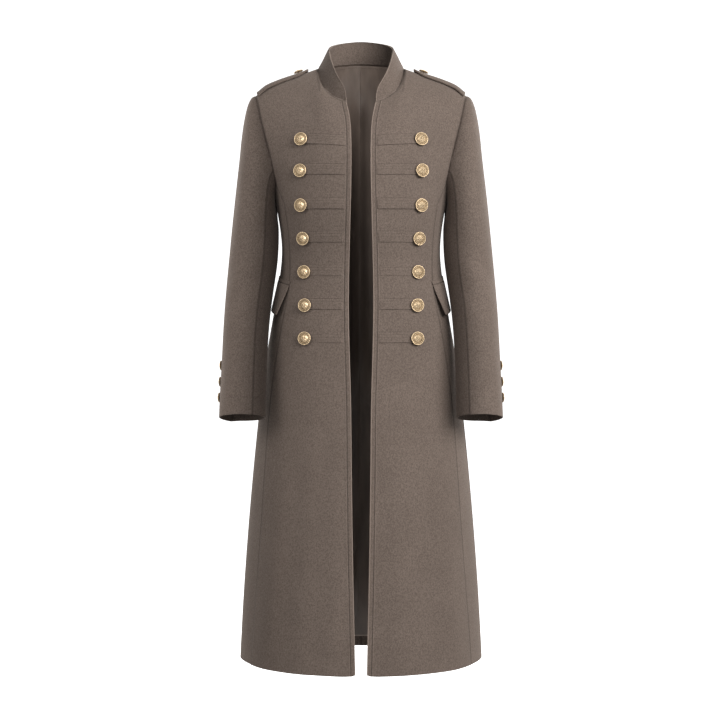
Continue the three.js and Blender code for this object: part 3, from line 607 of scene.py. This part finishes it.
def line_group():
    """Mask of a row of stitching at a distance from an edge, both in metres."""
    group, given, made = new_group(
        "Stitched line",
        [("From edge", "NodeSocketFloat", 1.0), ("Line at", "NodeSocketFloat", 0.009),
         ("Half width", "NodeSocketFloat", 0.001)],
        [("Groove", "NodeSocketFloat")])
    bench = NodeBench(group)
    apart = bench.math("ABSOLUTE", bench.math("SUBTRACT", given.outputs["From edge"], given.outputs["Line at"]))
    share = bench.math("DIVIDE", apart, given.outputs["Half width"])
    bench.join(bench.ramp(share, 1.0, 0.15), made.inputs["Groove"])
    return group


def shared_group(name, build):
    return bpy.data.node_groups.get(name) or build()


def new_material(name):
    material = bpy.data.materials.new(name)
    material.use_nodes = True
    bench = NodeBench(material.node_tree)
    shader = material.node_tree.nodes["Principled BSDF"]
    return material, bench, shader


def attribute(bench, name):
    node = bench.add("ShaderNodeAttribute", attribute_type="GEOMETRY")
    node.attribute_name = name
    return node.outputs["Fac"]


def add_group(bench, group, **values):
    node = bench.add("ShaderNodeGroup")
    node.node_tree = group
    for label, value in values.items():
        socket = node.inputs[label.replace("_", " ")]
        if isinstance(value, (int, float)):
            socket.default_value = value
        else:
            bench.join(value, socket)
    return node


def wool_material(name, settings, lining, lines=(), shade=1.0, cast=0.5):
    """Wool cloth with pressed stitch lines, and satin where the piece is lined inside. The lines are darkened as
    painted shade in their grooves or lightened as painted highlights, and the cloth darkens towards its seams as
    painted shade.
    """
    material, bench, shader = new_material(name)
    where = bench.add("ShaderNodeTexCoord").outputs["Object"]
    cloth = add_group(bench, shared_group("Milled wool", woven_group), Vector=where)
    dark = tuple(c * shade for c in settings.dark)
    light = tuple(c * shade for c in settings.light)
    colour = bench.blend(cloth.outputs["Melange"], dark, light)
    clouds = bench.ramp(cloth.outputs["Cloud"], 0.3, 0.7, 0.0, 0.16)
    colour = bench.blend(clouds, colour, tuple(c * 0.72 for c in dark))
    height = cloth.outputs["Fibre"]
    from_edge = attribute(bench, "from_edge")
    for line_at, half_width, deep in lines:
        groove = add_group(bench, shared_group("Stitched line", line_group), From_edge=from_edge,
                           Line_at=line_at, Half_width=half_width).outputs["Groove"]
        height = bench.math("SUBTRACT", height, bench.math("MULTIPLY", groove, deep))
        # Each line's colour: darker as painted shade in a groove (positive depth), lighter as a painted highlight on
        # a raised line or edge (negative depth); cast sets how strong.
        painted_line_light = tuple(c * 0.45 for c in dark) if deep > 0 else tuple(c * 1.7 for c in light)
        colour = bench.blend(bench.math("MULTIPLY", groove, min(cast * abs(deep) / 3, 0.8)), colour, painted_line_light)
    # Painted shade: the cloth darkens towards a seam as in the shade of its groove, besides the bump's real dip.
    seam = bench.ramp(attribute(bench, "from_seam"), 0.0034, 0.0002)
    height = bench.math("SUBTRACT", height, bench.math("MULTIPLY", seam, 2.0))
    colour = bench.blend(bench.math("MULTIPLY", seam, 0.55), colour, tuple(c * 0.5 for c in dark))
    satin = bench.ramp(attribute(bench, "lined"), -0.0004, 0.0004)
    colour = bench.blend(satin, colour, tuple(lining.colour))
    rough = bench.ramp(satin, 0, 1, 0.92, lining.gloss + 0.08, smooth=False)
    fine = bench.math("MULTIPLY", height, bench.math("SUBTRACT", 1.0, bench.math("MULTIPLY", satin, 0.9)))
    bump = bench.add("ShaderNodeBump")
    bump.inputs["Strength"].default_value = 0.75
    bump.inputs["Distance"].default_value = settings.nap
    bench.join(fine, bump.inputs["Height"])
    bench.join(colour, shader.inputs["Base Color"])
    bench.join(rough, shader.inputs["Roughness"])
    bench.join(bump.outputs["Normal"], shader.inputs["Normal"])
    shader.inputs["Specular IOR Level"].default_value = 0.18
    shader.inputs["Sheen Weight"].default_value = 0.22
    shader.inputs["Sheen Roughness"].default_value = 0.45
    shader.inputs["Sheen Tint"].default_value = (0.86, 0.76, 0.68, 1)
    return material


def satin_material(name, lining):
    """Dark satin with a fine lengthwise weave and faint slubs, darkened as painted shade in the trough of the centre
    pleat.
    """
    material, bench, shader = new_material(name)
    where = bench.add("ShaderNodeTexCoord").outputs["Object"]
    weave = bench.noise(where, 900, detail=2, stretch=(1, 1, 0.12))
    slub = bench.noise(where, 60, detail=2, stretch=(1, 1, 0.15))
    crumple = bench.noise(where, 22, detail=3, roughness=0.55, stretch=(1, 1, 0.4))
    dark = tuple(c * 0.82 for c in lining.colour)
    light = tuple(c * 1.14 for c in lining.colour)
    colour = bench.blend(bench.ramp(slub, 0.3, 0.7), dark, light)
    turned = bench.ramp(attribute(bench, "from_hem"), 0.0032, 0.0018)
    colour = bench.blend(turned, colour, tuple(c * 2.2 for c in lining.colour))
    # Painted shade in the trough beside the centre pleat.
    shade = bench.math("MULTIPLY", attribute(bench, "in_pleat"), 0.5)
    colour = bench.blend(shade, colour, tuple(c * 0.3 for c in lining.colour))
    bench.join(colour, shader.inputs["Base Color"])
    bench.join(bench.ramp(weave, 0.3, 0.7, lining.gloss - 0.04, lining.gloss + 0.08), shader.inputs["Roughness"])
    height = bench.math("ADD", bench.math("MULTIPLY", weave, 0.06), bench.math("MULTIPLY", crumple, 1.6))
    bump = bench.add("ShaderNodeBump")
    bump.inputs["Strength"].default_value = 0.5
    bump.inputs["Distance"].default_value = 0.0016
    bench.join(height, bump.inputs["Height"])
    bench.join(bump.outputs["Normal"], shader.inputs["Normal"])
    shader.inputs["Specular IOR Level"].default_value = 0.5
    shader.inputs["Sheen Weight"].default_value = 0.08
    return material


def gold_material(name, settings):
    """Pale gilt metal, darker and rougher in its recesses."""
    material, bench, shader = new_material(name)
    where = bench.add("ShaderNodeTexCoord").outputs["Object"]
    recess = attribute(bench, "recess")
    tarnish = bench.noise(where, 420, detail=4, roughness=0.6)
    mask = bench.math("ADD", bench.math("MULTIPLY", recess, 1.0), bench.ramp(tarnish, 0.5, 0.75, 0, 0.3), clamp=True)
    colour = bench.blend(mask, tuple(settings.gold), tuple(settings.worn))
    bench.join(colour, shader.inputs["Base Color"])
    bench.join(bench.ramp(mask, 0, 1, 0.42, 0.6), shader.inputs["Roughness"])
    bump = bench.add("ShaderNodeBump")
    bump.inputs["Strength"].default_value = 0.35
    bump.inputs["Distance"].default_value = 0.0002
    bench.join(bench.noise(where, 900, detail=3), bump.inputs["Height"])
    bench.join(bump.outputs["Normal"], shader.inputs["Normal"])
    shader.inputs["Metallic"].default_value = 0.72
    return material


def thread_material(name, settings):
    material, bench, shader = new_material(name)
    where = bench.add("ShaderNodeTexCoord").outputs["Object"]
    twist = bench.noise(where, 1500, detail=1)
    dark = tuple(c * 0.62 for c in settings.dark)
    light = tuple(c * 0.95 for c in settings.dark)
    bench.join(bench.blend(bench.ramp(twist, 0.35, 0.65), dark, light), shader.inputs["Base Color"])
    shader.inputs["Roughness"].default_value = 0.7
    return material


def find_material(name, build, *values, **more):
    """The material of that name, built the first time it is asked for."""
    return bpy.data.materials.get(name) or build(name, *values, **more)


def main_wool(scene):
    return find_material("Taupe wool", wool_material, scene.greatcoat_wool, scene.greatcoat_lining)


# Front edge wool: the stitch groove darkened as painted shade, the line beside it and the rolled edge lightened as
# painted highlights.
def edged_wool(scene):
    return find_material("Taupe wool, stitched edge", wool_material, scene.greatcoat_wool,
                         scene.greatcoat_lining, lines=((0.0078, 0.0012, 3.0), (0.0100, 0.0011, -1.0),
                                                               (0.0004, 0.0020, -4.0)))


# Operators, one for each group of like pieces


class GREATCOAT_OT_body(bpy.types.Operator):
    """Cut the fronts, side fronts and backs from the body's solids"""

    bl_idname = "greatcoat.body"
    bl_label = "Body panels"

    def execute(self, context):
        scene = context.scene
        wool = main_wool(scene)
        edged = edged_wool(scene)
        thread = find_material("Sewing thread", thread_material, scene.greatcoat_wool)

        def inside(points):
            from_front = np.abs(points[:, 0]) - table_at(FRONT_EDGE_LINE, points[:, 2], 1) - 0.078
            from_front = np.where(points[:, 1] < 0, from_front, 1.0)
            return np.minimum(from_front, points[:, 2] + 1.087 - 0.036)

        def front_edge(p):
            return abs(abs(p.x) - table_at(FRONT_EDGE_LINE, p.z, 1)) < 0.0035 and -1.0855 < p.z < -0.074

        def hem(p):
            return p.z < -1.08

        def uncut(p):
            return front_edge(p) or hem(p)

        for side in ("left", "right"):
            mesh = cloth_shell(f"front_{side}", 1.0 * MM, folds=FRONT_FOLDS, keep=front_edge,
                               rolled=scene.greatcoat_wool.rolled_edge, lined=inside, free=uncut)
            self.round_corner(mesh)
            front = place_piece(f"front_{side}_cloth", mesh, edged, [f"front_{side}"])
            stitches = self.edge_stitches(side, mesh, thread)
            mesh = cloth_shell(f"side_front_{side}", 1.0 * MM, folds=SIDE_FOLDS, lined=inside, free=hem)
            side_front = place_piece(f"side_front_{side}_cloth", mesh, wool, [f"side_front_{side}"])
            mesh = cloth_shell(f"back_{side}", 1.0 * MM, folds=BACK_FOLDS, lined=inside, free=hem)
            self.close_centre(mesh, side)
            back = place_piece(f"back_{side}_cloth", mesh, wool, [f"back_{side}"])
        return {"FINISHED"}

    def round_corner(self, mesh, radius=0.005, drop=0.0020):
        """Lets the front's lower corner down a little and rounds it in the plane of the cloth."""
        points = mesh_points(mesh)
        from_front = np.abs(points[:, 0]) - np.abs(points[:, 0]).min()
        points[:, 2] -= drop * np.exp(-(from_front / 0.026) ** 2) * ease((-1.045 - points[:, 2]) / 0.04)
        across = radius - (np.abs(points[:, 0]) - np.abs(points[:, 0]).min())
        down = radius - (points[:, 2] - points[:, 2].min())
        near = (across > 0) & (down > 0)
        drawn = np.where(near, np.maximum(across, down) / (np.hypot(across, down) + 1e-9), 1)
        shift = np.where(near, 1 - drawn, 0)
        points[:, 0] += np.sign(points[:, 0]) * across * shift
        points[:, 2] += down * shift
        set_points(mesh, points)

    def close_centre(self, mesh, side):
        """Brings a back's edge up to the centre seam, with no light between the two."""
        points = mesh_points(mesh)
        sign = 1 if side == "left" else -1
        away = sign * points[:, 0]
        drawn = np.maximum(away - 0.24 * MM * np.exp(-(away / (3 * MM)) ** 2), np.minimum(away, -0.06 * MM))
        points[:, 0] = sign * drawn
        set_points(mesh, points)

    def edge_stitches(self, side, mesh, thread):
        """A row of stitches down the front, on its pressed line."""
        sign = 1 if side == "left" else -1
        tree = BVHTree.FromPolygons([v.co for v in mesh.vertices], [p.vertices for p in mesh.polygons])
        stops = []
        for height in np.arange(-1.079, -0.082, 0.0034):
            place = Vector((sign * (table_at(FRONT_EDGE_LINE, height, 1) + 7.8 * MM), -1, height))
            stops.append(tree.ray_cast(place, Vector((0, 1, 0)))[:2])
        return place_stitches(f"front_stitches_{side}", stops, thread)


class GREATCOAT_OT_sleeves(bpy.types.Operator):
    """Cut the two-piece sleeves from their solids"""

    bl_idname = "greatcoat.sleeves"
    bl_label = "Sleeves"

    def execute(self, context):
        # The line 30 mm from the sleeve's hem is darkened as painted shade in its groove.
        wool = find_material("Taupe wool, sleeve", wool_material, context.scene.greatcoat_wool,
                             context.scene.greatcoat_lining, lines=((0.030, 0.0012, 0.8),))

        def inside(points):
            return points[:, 2] + 0.6496 - 0.034

        def hem(p):
            return p.z < -0.63

        for side in ("left", "right"):
            for part in ("sleeve_top", "sleeve_under"):
                node = f"{part}_{side}"
                mesh = cloth_shell(node, 0.9 * MM, folds=SLEEVE_FOLDS, way=arm_out, across=round_arm,
                                   keep=hem, lined=inside, free=hem)
                piece = place_piece(node + "_cloth", mesh, wool, [node])
        return {"FINISHED"}


class GREATCOAT_OT_collar(bpy.types.Operator):
    """Cut the standing collar from its solid"""

    bl_idname = "greatcoat.collar"
    bl_label = "Standing collar"

    def execute(self, context):
        # The collar's cut edge is lightened as a painted highlight.
        wool = find_material("Taupe wool, collar", wool_material, context.scene.greatcoat_wool,
                             context.scene.greatcoat_lining, lines=((0.0004, 0.0018, -3.2),))
        mesh = cloth_shell("collar_stand", 1.2 * MM, keep=lambda p: p[1] < 0 or p[2] > 0.045)
        self.close_neck_seam(mesh)
        piece = place_piece("collar_stand_cloth", mesh, wool, ["collar_stand"])
        return {"FINISHED"}

    def close_neck_seam(self, mesh):
        """Brings the collar's lower edge down onto the neck edge that it is sewn to."""
        points = mesh_points(mesh)
        turn = np.arctan2(points[:, 1], points[:, 0])
        given = mesh_points(frame["nodes"]["collar_stand"].data)
        given_turn = np.arctan2(given[:, 1], given[:, 0])
        stops = np.linspace(-math.pi, math.pi, 73)
        lowest = [given[np.abs(given_turn - stop) < 0.12, 2].min(initial=1.0) for stop in stops]
        known = np.array(lowest) < 1
        above = points[:, 2] - np.interp(turn, stops[known], np.array(lowest)[known])
        points[:, 2] -= 0.0011 * (1 - ease((above - 0.004) / 0.006))
        set_points(mesh, points)


class GREATCOAT_OT_lining(bpy.types.Operator):
    """Hang the satin lining of the back, with its centre pleat and soft folds"""

    bl_idname = "greatcoat.lining"
    bl_label = "Back lining"

    def execute(self, context):
        satin = find_material("Brown satin", satin_material, context.scene.greatcoat_lining)
        bm = merged_copy("lining_back")
        mesh = smoothed(bm, "lining_back_satin", 2, rim_edges(bm, 70), 0.08 * MM)
        points = mesh_points(mesh)
        inward = np.zeros_like(points)
        inward[:, 1] = -1.0
        close = np.abs(points[:, 0]) < 0.012
        drawn = np.sign(points[:, 0]) * 0.012 * (np.abs(points[:, 0]) / 0.012) ** 1.7
        points[:, 0] = np.where(close, drawn, points[:, 0])
        moved = np.zeros(len(points))
        for side in (1, -1):
            half = points[:, 0] * side > -0.03
            signed = points.copy()
            signed[:, 0] *= side
            depth = fold_depth(signed, side, LINING_FOLDS, lambda p: p[:, 0])
            moved += np.where(half, np.maximum(depth, -0.0009), 0)
        height = points[:, 2] - LINING_TUCK["z"] * MM
        over = np.where(height > 0, np.exp(-(height / (LINING_TUCK["above"] * MM)) ** 2),
                        np.exp(-(height / (LINING_TUCK["below"] * MM)) ** 2))
        near = np.exp(-(points[:, 0] / 0.06) ** 2)
        moved += LINING_TUCK["proud"] * MM * over * near
        pleat = np.interp(points[:, 0] / MM, [row[0] for row in LINING_PLEAT], [row[1] for row in LINING_PLEAT])
        below_neck = ease((-0.028 - points[:, 2]) / 0.05)
        above_tuck = 1 - ease((-0.50 - points[:, 2]) / 0.12)
        moved += pleat * MM * below_neck * above_tuck
        # Where the satin lies in the pleat's trough, for its painted shade.
        in_pleat = np.exp(-((points[:, 0] - 3.6 * MM) / (3.4 * MM)) ** 2) * below_neck * above_tuck
        moved *= np.clip((0.19 - np.abs(points[:, 0])) / 0.03, 0, 1)
        set_points(mesh, points + inward * moved[:, None])
        set_values(mesh, "from_hem", points[:, 2] - points[:, 2].min())
        set_values(mesh, "in_pleat", in_pleat)
        piece = place_piece("lining_back_satin", mesh, satin, ["lining_back"])
        stitches = self.neck_stitches(context.scene, mesh)
        return {"FINISHED"}

    def neck_stitches(self, scene, mesh):
        """Hand stitches that fell the lining's top edge to the neck seam."""
        thread = find_material("Sewing thread", thread_material, scene.greatcoat_wool)
        points = mesh_points(mesh)
        tree = BVHTree.FromPolygons([v.co for v in mesh.vertices], [p.vertices for p in mesh.polygons])
        stops = []
        for across in np.arange(-0.055, 0.0551, 0.0039):
            near = np.abs(points[:, 0] - across) < 0.004
            top = points[near, 2].max() - 4.2 * MM
            stops.append(tree.ray_cast(Vector((across, -0.02, top)), Vector((0, 1, 0)))[:2])
        return place_stitches("neck_stitches", stops, thread, length=0.0028, thick=0.5 * MM)


class GREATCOAT_OT_tapes(bpy.types.Operator):
    """Lay the self-fabric tapes between the buttons and the front edges"""

    bl_idname = "greatcoat.tapes"
    bl_label = "Button tapes"

    def execute(self, context):
        # Three lines along each tape, 1.4, 6.2 and 11.2 mm below its top, are darkened as painted shade in their
        # grooves.
        wool = find_material("Taupe wool, tape", wool_material, context.scene.greatcoat_wool,
                             context.scene.greatcoat_lining,
                             lines=((0.0014, 0.0011, 1.3), (0.0062, 0.0010, 0.8), (0.0112, 0.0010, 0.9)))
        for side in ("left", "right"):
            for number in range(1, 8):
                node = f"tape_{side}_{number}"
                mesh = cloth_shell(node, 0.2 * MM, folds=FRONT_FOLDS)
                points = mesh_points(mesh)
                below = self.below_top(node, points)
                mesh.attributes.remove(mesh.attributes["from_edge"])
                set_values(mesh, "from_edge", below)
                from_end = np.abs(points[:, 0]) - np.abs(points[:, 0]).min()
                thin = np.maximum(1.15 * (1 - ease(below / 0.014)), 1.1 * (1 - ease(from_end / 0.0035)))
                set_points(mesh, points - body_out(points) * (0.45 + thin[:, None]) * MM)
                piece = place_piece(node + "_cloth", mesh, wool, [node])
        return {"FINISHED"}

    def below_top(self, node, points):
        """How far each point lies below the tape's top edge."""
        given = mesh_points(frame["nodes"][node].data)
        across = np.abs(given[:, 0])
        stops = np.linspace(across.min(), across.max(), 9)
        tops = []
        for stop in stops:
            near = np.abs(across - stop) < 0.006
            tops.append(given[near, 2].max())
        return np.interp(np.abs(points[:, 0]), stops, tops) - points[:, 2]


class GREATCOAT_OT_straps(bpy.types.Operator):
    """Lay the shoulder straps"""

    bl_idname = "greatcoat.straps"
    bl_label = "Shoulder straps"

    def execute(self, context):
        # The strap's stitch line is darkened as painted shade in its groove.
        wool = find_material("Taupe wool, strap", wool_material, context.scene.greatcoat_wool,
                             context.scene.greatcoat_lining, lines=((0.0052, 0.001, 2.2),), shade=0.97)
        thread = find_material("Sewing thread", thread_material, context.scene.greatcoat_wool)
        for side in ("left", "right"):
            node = f"shoulder_strap_{side}"
            mesh = cloth_shell(node, 0.9 * MM, keep=lambda p: True, line_at=0.0052, rolled=0.0005)
            piece = place_piece(node + "_cloth", mesh, wool, [node])
            stitches = self.strap_stitches(side, mesh, thread)
        return {"FINISHED"}

    def strap_stitches(self, side, mesh, thread):
        """A row of stitches along both sides and round the pointed end of a strap."""
        sign = 1 if side == "left" else -1
        tree = BVHTree.FromPolygons([v.co for v in mesh.vertices], [p.vertices for p in mesh.polygons])
        line = [Vector((x, y, 0)) * MM for x, y in STRAP_STITCHES]
        line += [Vector((p.x, -p.y, 0)) for p in reversed(line[:-1])]
        stops = []
        for a, b in zip(line[:-1], line[1:]):
            count = max(1, round((b - a).length / 0.0034))
            for i in range(count):
                place = a.lerp(b, (i + 0.5) / count)
                stops.append(tree.ray_cast(Vector((sign * place.x, place.y, 1)), Vector((0, 0, -1)))[:2])
        return place_stitches(f"strap_stitches_{side}", stops, thread, length=0.0024)


class GREATCOAT_OT_pockets(bpy.types.Operator):
    """Set the slanted pocket flaps under their welts"""

    bl_idname = "greatcoat.pockets"
    bl_label = "Pocket flaps and welts"

    def execute(self, context):
        wool = find_material("Taupe wool, flap", wool_material, context.scene.greatcoat_wool,
                             context.scene.greatcoat_lining)
        for side in ("left", "right"):
            mesh = cloth_shell(f"pocket_flap_{side}", 0.8 * MM)
            self.flare(mesh)
            flap = place_piece(f"pocket_flap_{side}_cloth", mesh, wool, [f"pocket_flap_{side}"])
            mesh = cloth_shell(f"pocket_welt_{side}", 0.2 * MM)
            welt = place_piece(f"pocket_welt_{side}_cloth", mesh, main_wool(context.scene),
                               [f"pocket_welt_{side}"])
        return {"FINISHED"}

    def flare(self, mesh):
        """Lets the flap's front lower corner stand away from the coat."""
        points = mesh_points(mesh)
        forward = np.clip((0.055 - points[:, 1]) / 0.122, 0, 1)
        down = np.clip((-0.379 - 0.025 * forward - points[:, 2]) / 0.053, 0, 1)
        away = 0.0062 * ease((forward - 0.6) / 0.4) * down ** 1.2 + 0.001 * down
        set_points(mesh, points + body_out(points) * away[:, None])


class GREATCOAT_OT_buttons(bpy.types.Operator):
    """Spin the domed gold buttons"""

    bl_idname = "greatcoat.buttons"
    bl_label = "Buttons"

    def execute(self, context):
        scene = context.scene
        gold = find_material("Gilt metal", gold_material, scene.greatcoat_buttons)
        for node in sorted(frame["nodes"]):
            if "button" not in node:
                continue
            side = -1 if "right" in node else 1
            towards = (0.1 * side, -1, 0)
            if node.startswith("shoulder"):
                towards = (0, 0, 1)
            elif node.startswith("cuff"):
                towards = (side, 0, 0)
            mesh = self.spun(node, towards, scene.greatcoat_buttons)
            place_piece(node + "_gilt", mesh, gold, [node])
        return {"FINISHED"}

    def spun(self, node, towards, settings):
        """A button spun from its profile, with a roped ring and a rosette in low relief."""
        back, axis, radius, height = node_axis(node, Vector(towards))
        steps = settings.rope * 4
        bm = bmesh.new()
        verts = [bm.verts.new((r * radius, 0, h * height)) for r, h, _ in BUTTON_PROFILE]
        edges = [bm.edges.new(pair) for pair in zip(verts[:-1], verts[1:])]
        bmesh.ops.spin(bm, geom=verts + edges, cent=(0, 0, 0), axis=(0, 0, 1), angle=2 * math.pi,
                       steps=steps, use_merge=True)
        bmesh.ops.remove_doubles(bm, verts=bm.verts, dist=1e-7)
        foot = [e for e in bm.edges if e.is_boundary]
        bmesh.ops.contextual_create(bm, geom=foot)
        bmesh.ops.recalc_face_normals(bm, faces=bm.faces)
        radii = np.array([row[0] for row in BUTTON_PROFILE])
        deep = np.array([row[2] for row in BUTTON_PROFILE])
        recess = []
        for vert in bm.verts:
            share = math.hypot(vert.co.x, vert.co.y) / radius
            turn = math.atan2(vert.co.y, vert.co.x)
            up = vert.co.z / height
            low = float(np.interp(-share, -radii[5:], deep[5:])) if up > 0.28 else 0.2
            if up > 0.3 and 0.68 < share < 0.78:
                rope = math.sin(settings.rope * turn + (share - 0.725) * 30)
                vert.co.z += 0.022 * height * rope
                low = 0.5 - 0.3 * rope
            if up > 0.5 and share < 0.58:
                petal = math.cos(settings.petals * turn)
                ring = math.sin(min(share / 0.54, 1) * math.pi)
                vert.co.z += 0.035 * height * petal * ring
                bud = math.exp(-((share - 0.16) / 0.035) ** 2)
                vert.co.z -= 0.03 * height * bud
                low = max(0.0, -petal) * ring * 0.75 + 0.7 * bud
            recess.append(low)
        if node.startswith("button"):
            at = np.array([back])
            back = back + axis * fold_depth(at, -1 if "right" in node else 1, FRONT_FOLDS, across_body)[0]
        place = Matrix.Translation(back) @ axis.to_track_quat("Z", "Y").to_matrix().to_4x4()
        bmesh.ops.transform(bm, matrix=place, verts=bm.verts)
        mesh = bpy.data.meshes.new(node + "_gilt")
        bm.to_mesh(mesh)
        bm.free()
        mesh.shade_smooth()
        set_values(mesh, "recess", recess)
        return mesh


class GREATCOAT_OT_stage(bpy.types.Operator):
    """Set the floor, backdrop, lights and camera"""

    bl_idname = "greatcoat.stage"
    bl_label = "Stage"

    def execute(self, context):
        scene = context.scene
        stage = scene.greatcoat_stage
        self.cyclorama(scene, stage.floor, stage.glow)
        self.surroundings(scene, stage.daylight)
        for name, place, size, share, lights_up in LIGHTS:
            self.area_light(scene, name, place, size, stage.power * share, lights_up)
        camera = bpy.data.cameras.new("Camera")
        camera.sensor_width = 36
        camera.lens = 67.57
        holder = bpy.data.objects.new("Camera", camera)
        holder.location = (-0.00185, -2.5, -0.538)
        holder.rotation_euler = (math.radians(90), 0, 0)
        scene.collection.objects.link(holder)
        scene.camera = holder
        scene.view_settings.view_transform = "Standard"
        return {"FINISHED"}

    def cyclorama(self, scene, floor, glow):
        """A floor that curves up into a wall behind the coat."""
        bm = bmesh.new()
        verts = [bm.verts.new(p) for p in ((-7, -6, floor), (-7, 4.5, floor), (-7, 4.5, floor + 6))]
        edges = [bm.edges.new(pair) for pair in zip(verts[:-1], verts[1:])]
        grown = bmesh.ops.extrude_edge_only(bm, edges=edges)["geom"]
        bmesh.ops.translate(bm, vec=(14, 0, 0), verts=[v for v in grown if isinstance(v, bmesh.types.BMVert)])
        corner = [e for e in bm.edges if len(e.link_faces) == 2]
        bmesh.ops.bevel(bm, geom=corner, offset=1.5, offset_type="OFFSET", segments=12, profile=0.5,
                        affect="EDGES", material=-1)
        bmesh.ops.recalc_face_normals(bm, faces=bm.faces)
        mesh = bpy.data.meshes.new("Floor")
        bm.to_mesh(mesh)
        bm.free()
        mesh.shade_smooth()
        material, bench, shader = new_material("White floor")
        where = bench.add("ShaderNodeTexCoord").outputs["Object"]
        grain = bench.noise(where, 3, detail=2)
        path = bench.add("ShaderNodeLightPath")
        seen = path.outputs["Is Camera Ray"]
        pale = bench.blend(bench.ramp(grain, 0.3, 0.7), (0.93, 0.93, 0.93), (0.95, 0.95, 0.95))
        bench.join(bench.blend(seen, (0.22, 0.22, 0.22), pale), shader.inputs["Base Color"])
        shader.inputs["Roughness"].default_value = 0.9
        shader.inputs["Specular IOR Level"].default_value = 0.1
        shader.inputs["Emission Color"].default_value = (1, 1, 1, 1)
        mirrored = bench.ramp(path.outputs["Is Glossy Ray"], 0, 1, glow, 0.62, smooth=False)
        bench.join(bench.math("MAXIMUM", bench.math("MULTIPLY", seen, 0.9), mirrored),
                   shader.inputs["Emission Strength"])
        mesh.materials.append(material)
        piece = bpy.data.objects.new("Floor", mesh)
        scene.collection.objects.link(piece)

    def surroundings(self, scene, strength):
        world = bpy.data.worlds.new("Surroundings")
        world.use_nodes = True
        bench = NodeBench(world.node_tree)
        background = world.node_tree.nodes["Background"]
        background.inputs["Color"].default_value = (1, 1, 1, 1)
        path = bench.add("ShaderNodeLightPath")
        mirrored = bench.ramp(path.outputs["Is Glossy Ray"], 0, 1, strength, 3 * strength, smooth=False)
        bench.join(bench.math("MAXIMUM", path.outputs["Is Camera Ray"], mirrored), background.inputs["Strength"])
        scene.world = world

    def area_light(self, scene, name, place, size, power, lights_up):
        light = bpy.data.lights.new(name, "AREA")
        light.shape = "DISK"
        light.size = size
        light.energy = power
        light.color = (1.0, 0.985, 0.965)
        holder = bpy.data.objects.new(name, light)
        holder.location = place
        aim = Vector((0, 0, -0.5)) - Vector(place)
        holder.rotation_euler = aim.to_track_quat("-Z", "Y").to_euler()
        holder.visible_camera = False
        holder.visible_glossy = lights_up != "lining"
        scene.collection.objects.link(holder)
        if lights_up == "all":
            return
        lit = bpy.data.collections.new(name + " lights")
        for piece in scene.objects:
            if piece.type == "MESH" and self.is_lit(piece.name, lights_up):
                lit.objects.link(piece)
        holder.light_linking.receiver_collection = lit

    def is_lit(self, name, lights_up):
        if lights_up == "lining":
            return name.startswith("lining")
        if "button" in lights_up:
            return name.startswith(lights_up)
        if "collar" in lights_up and name.startswith("collar"):
            return False
        side = "left" if "left" in lights_up else "right"
        arm = name.startswith(("sleeve", "cuff")) and side in name
        return arm == (not lights_up.startswith("all but"))


PIECES = (
    GREATCOAT_OT_body,
    GREATCOAT_OT_sleeves,
    GREATCOAT_OT_collar,
    GREATCOAT_OT_lining,
    GREATCOAT_OT_tapes,
    GREATCOAT_OT_straps,
    GREATCOAT_OT_pockets,
    GREATCOAT_OT_buttons,
    GREATCOAT_OT_stage,
)
SETTINGS = {
    "greatcoat_wool": WoolSettings,
    "greatcoat_lining": LiningSettings,
    "greatcoat_buttons": ButtonSettings,
    "greatcoat_stage": StageSettings,
}


class GREATCOAT_PT_pieces(bpy.types.Panel):
    """Lists the coat's sizes, colours and pieces"""

    bl_idname = "GREATCOAT_PT_pieces"
    bl_label = "Greatcoat"
    bl_space_type = "VIEW_3D"
    bl_region_type = "UI"
    bl_category = "Greatcoat"

    def draw(self, context):
        layout = self.layout
        for name, group in SETTINGS.items():
            box = layout.box()
            for setting in group.__annotations__:
                box.prop(getattr(context.scene, name), setting)
        for operator in PIECES:
            layout.operator(operator.bl_idname)


def register():
    for group in SETTINGS.values():
        bpy.utils.register_class(group)
    for operator in PIECES:
        bpy.utils.register_class(operator)
    bpy.utils.register_class(GREATCOAT_PT_pieces)
    for name, group in SETTINGS.items():
        setattr(bpy.types.Scene, name, PointerProperty(type=group))


def unregister():
    for name in SETTINGS:
        delattr(bpy.types.Scene, name)
    bpy.utils.unregister_class(GREATCOAT_PT_pieces)
    for operator in reversed(PIECES):
        bpy.utils.unregister_class(operator)
    for group in SETTINGS.values():
        bpy.utils.unregister_class(group)


def main():
    register()
    bpy.ops.greatcoat.body()
    bpy.ops.greatcoat.sleeves()
    bpy.ops.greatcoat.collar()
    bpy.ops.greatcoat.lining()
    bpy.ops.greatcoat.tapes()
    bpy.ops.greatcoat.straps()
    bpy.ops.greatcoat.pockets()
    bpy.ops.greatcoat.buttons()
    bpy.ops.greatcoat.stage()


if __name__ == "__main__":
    main()
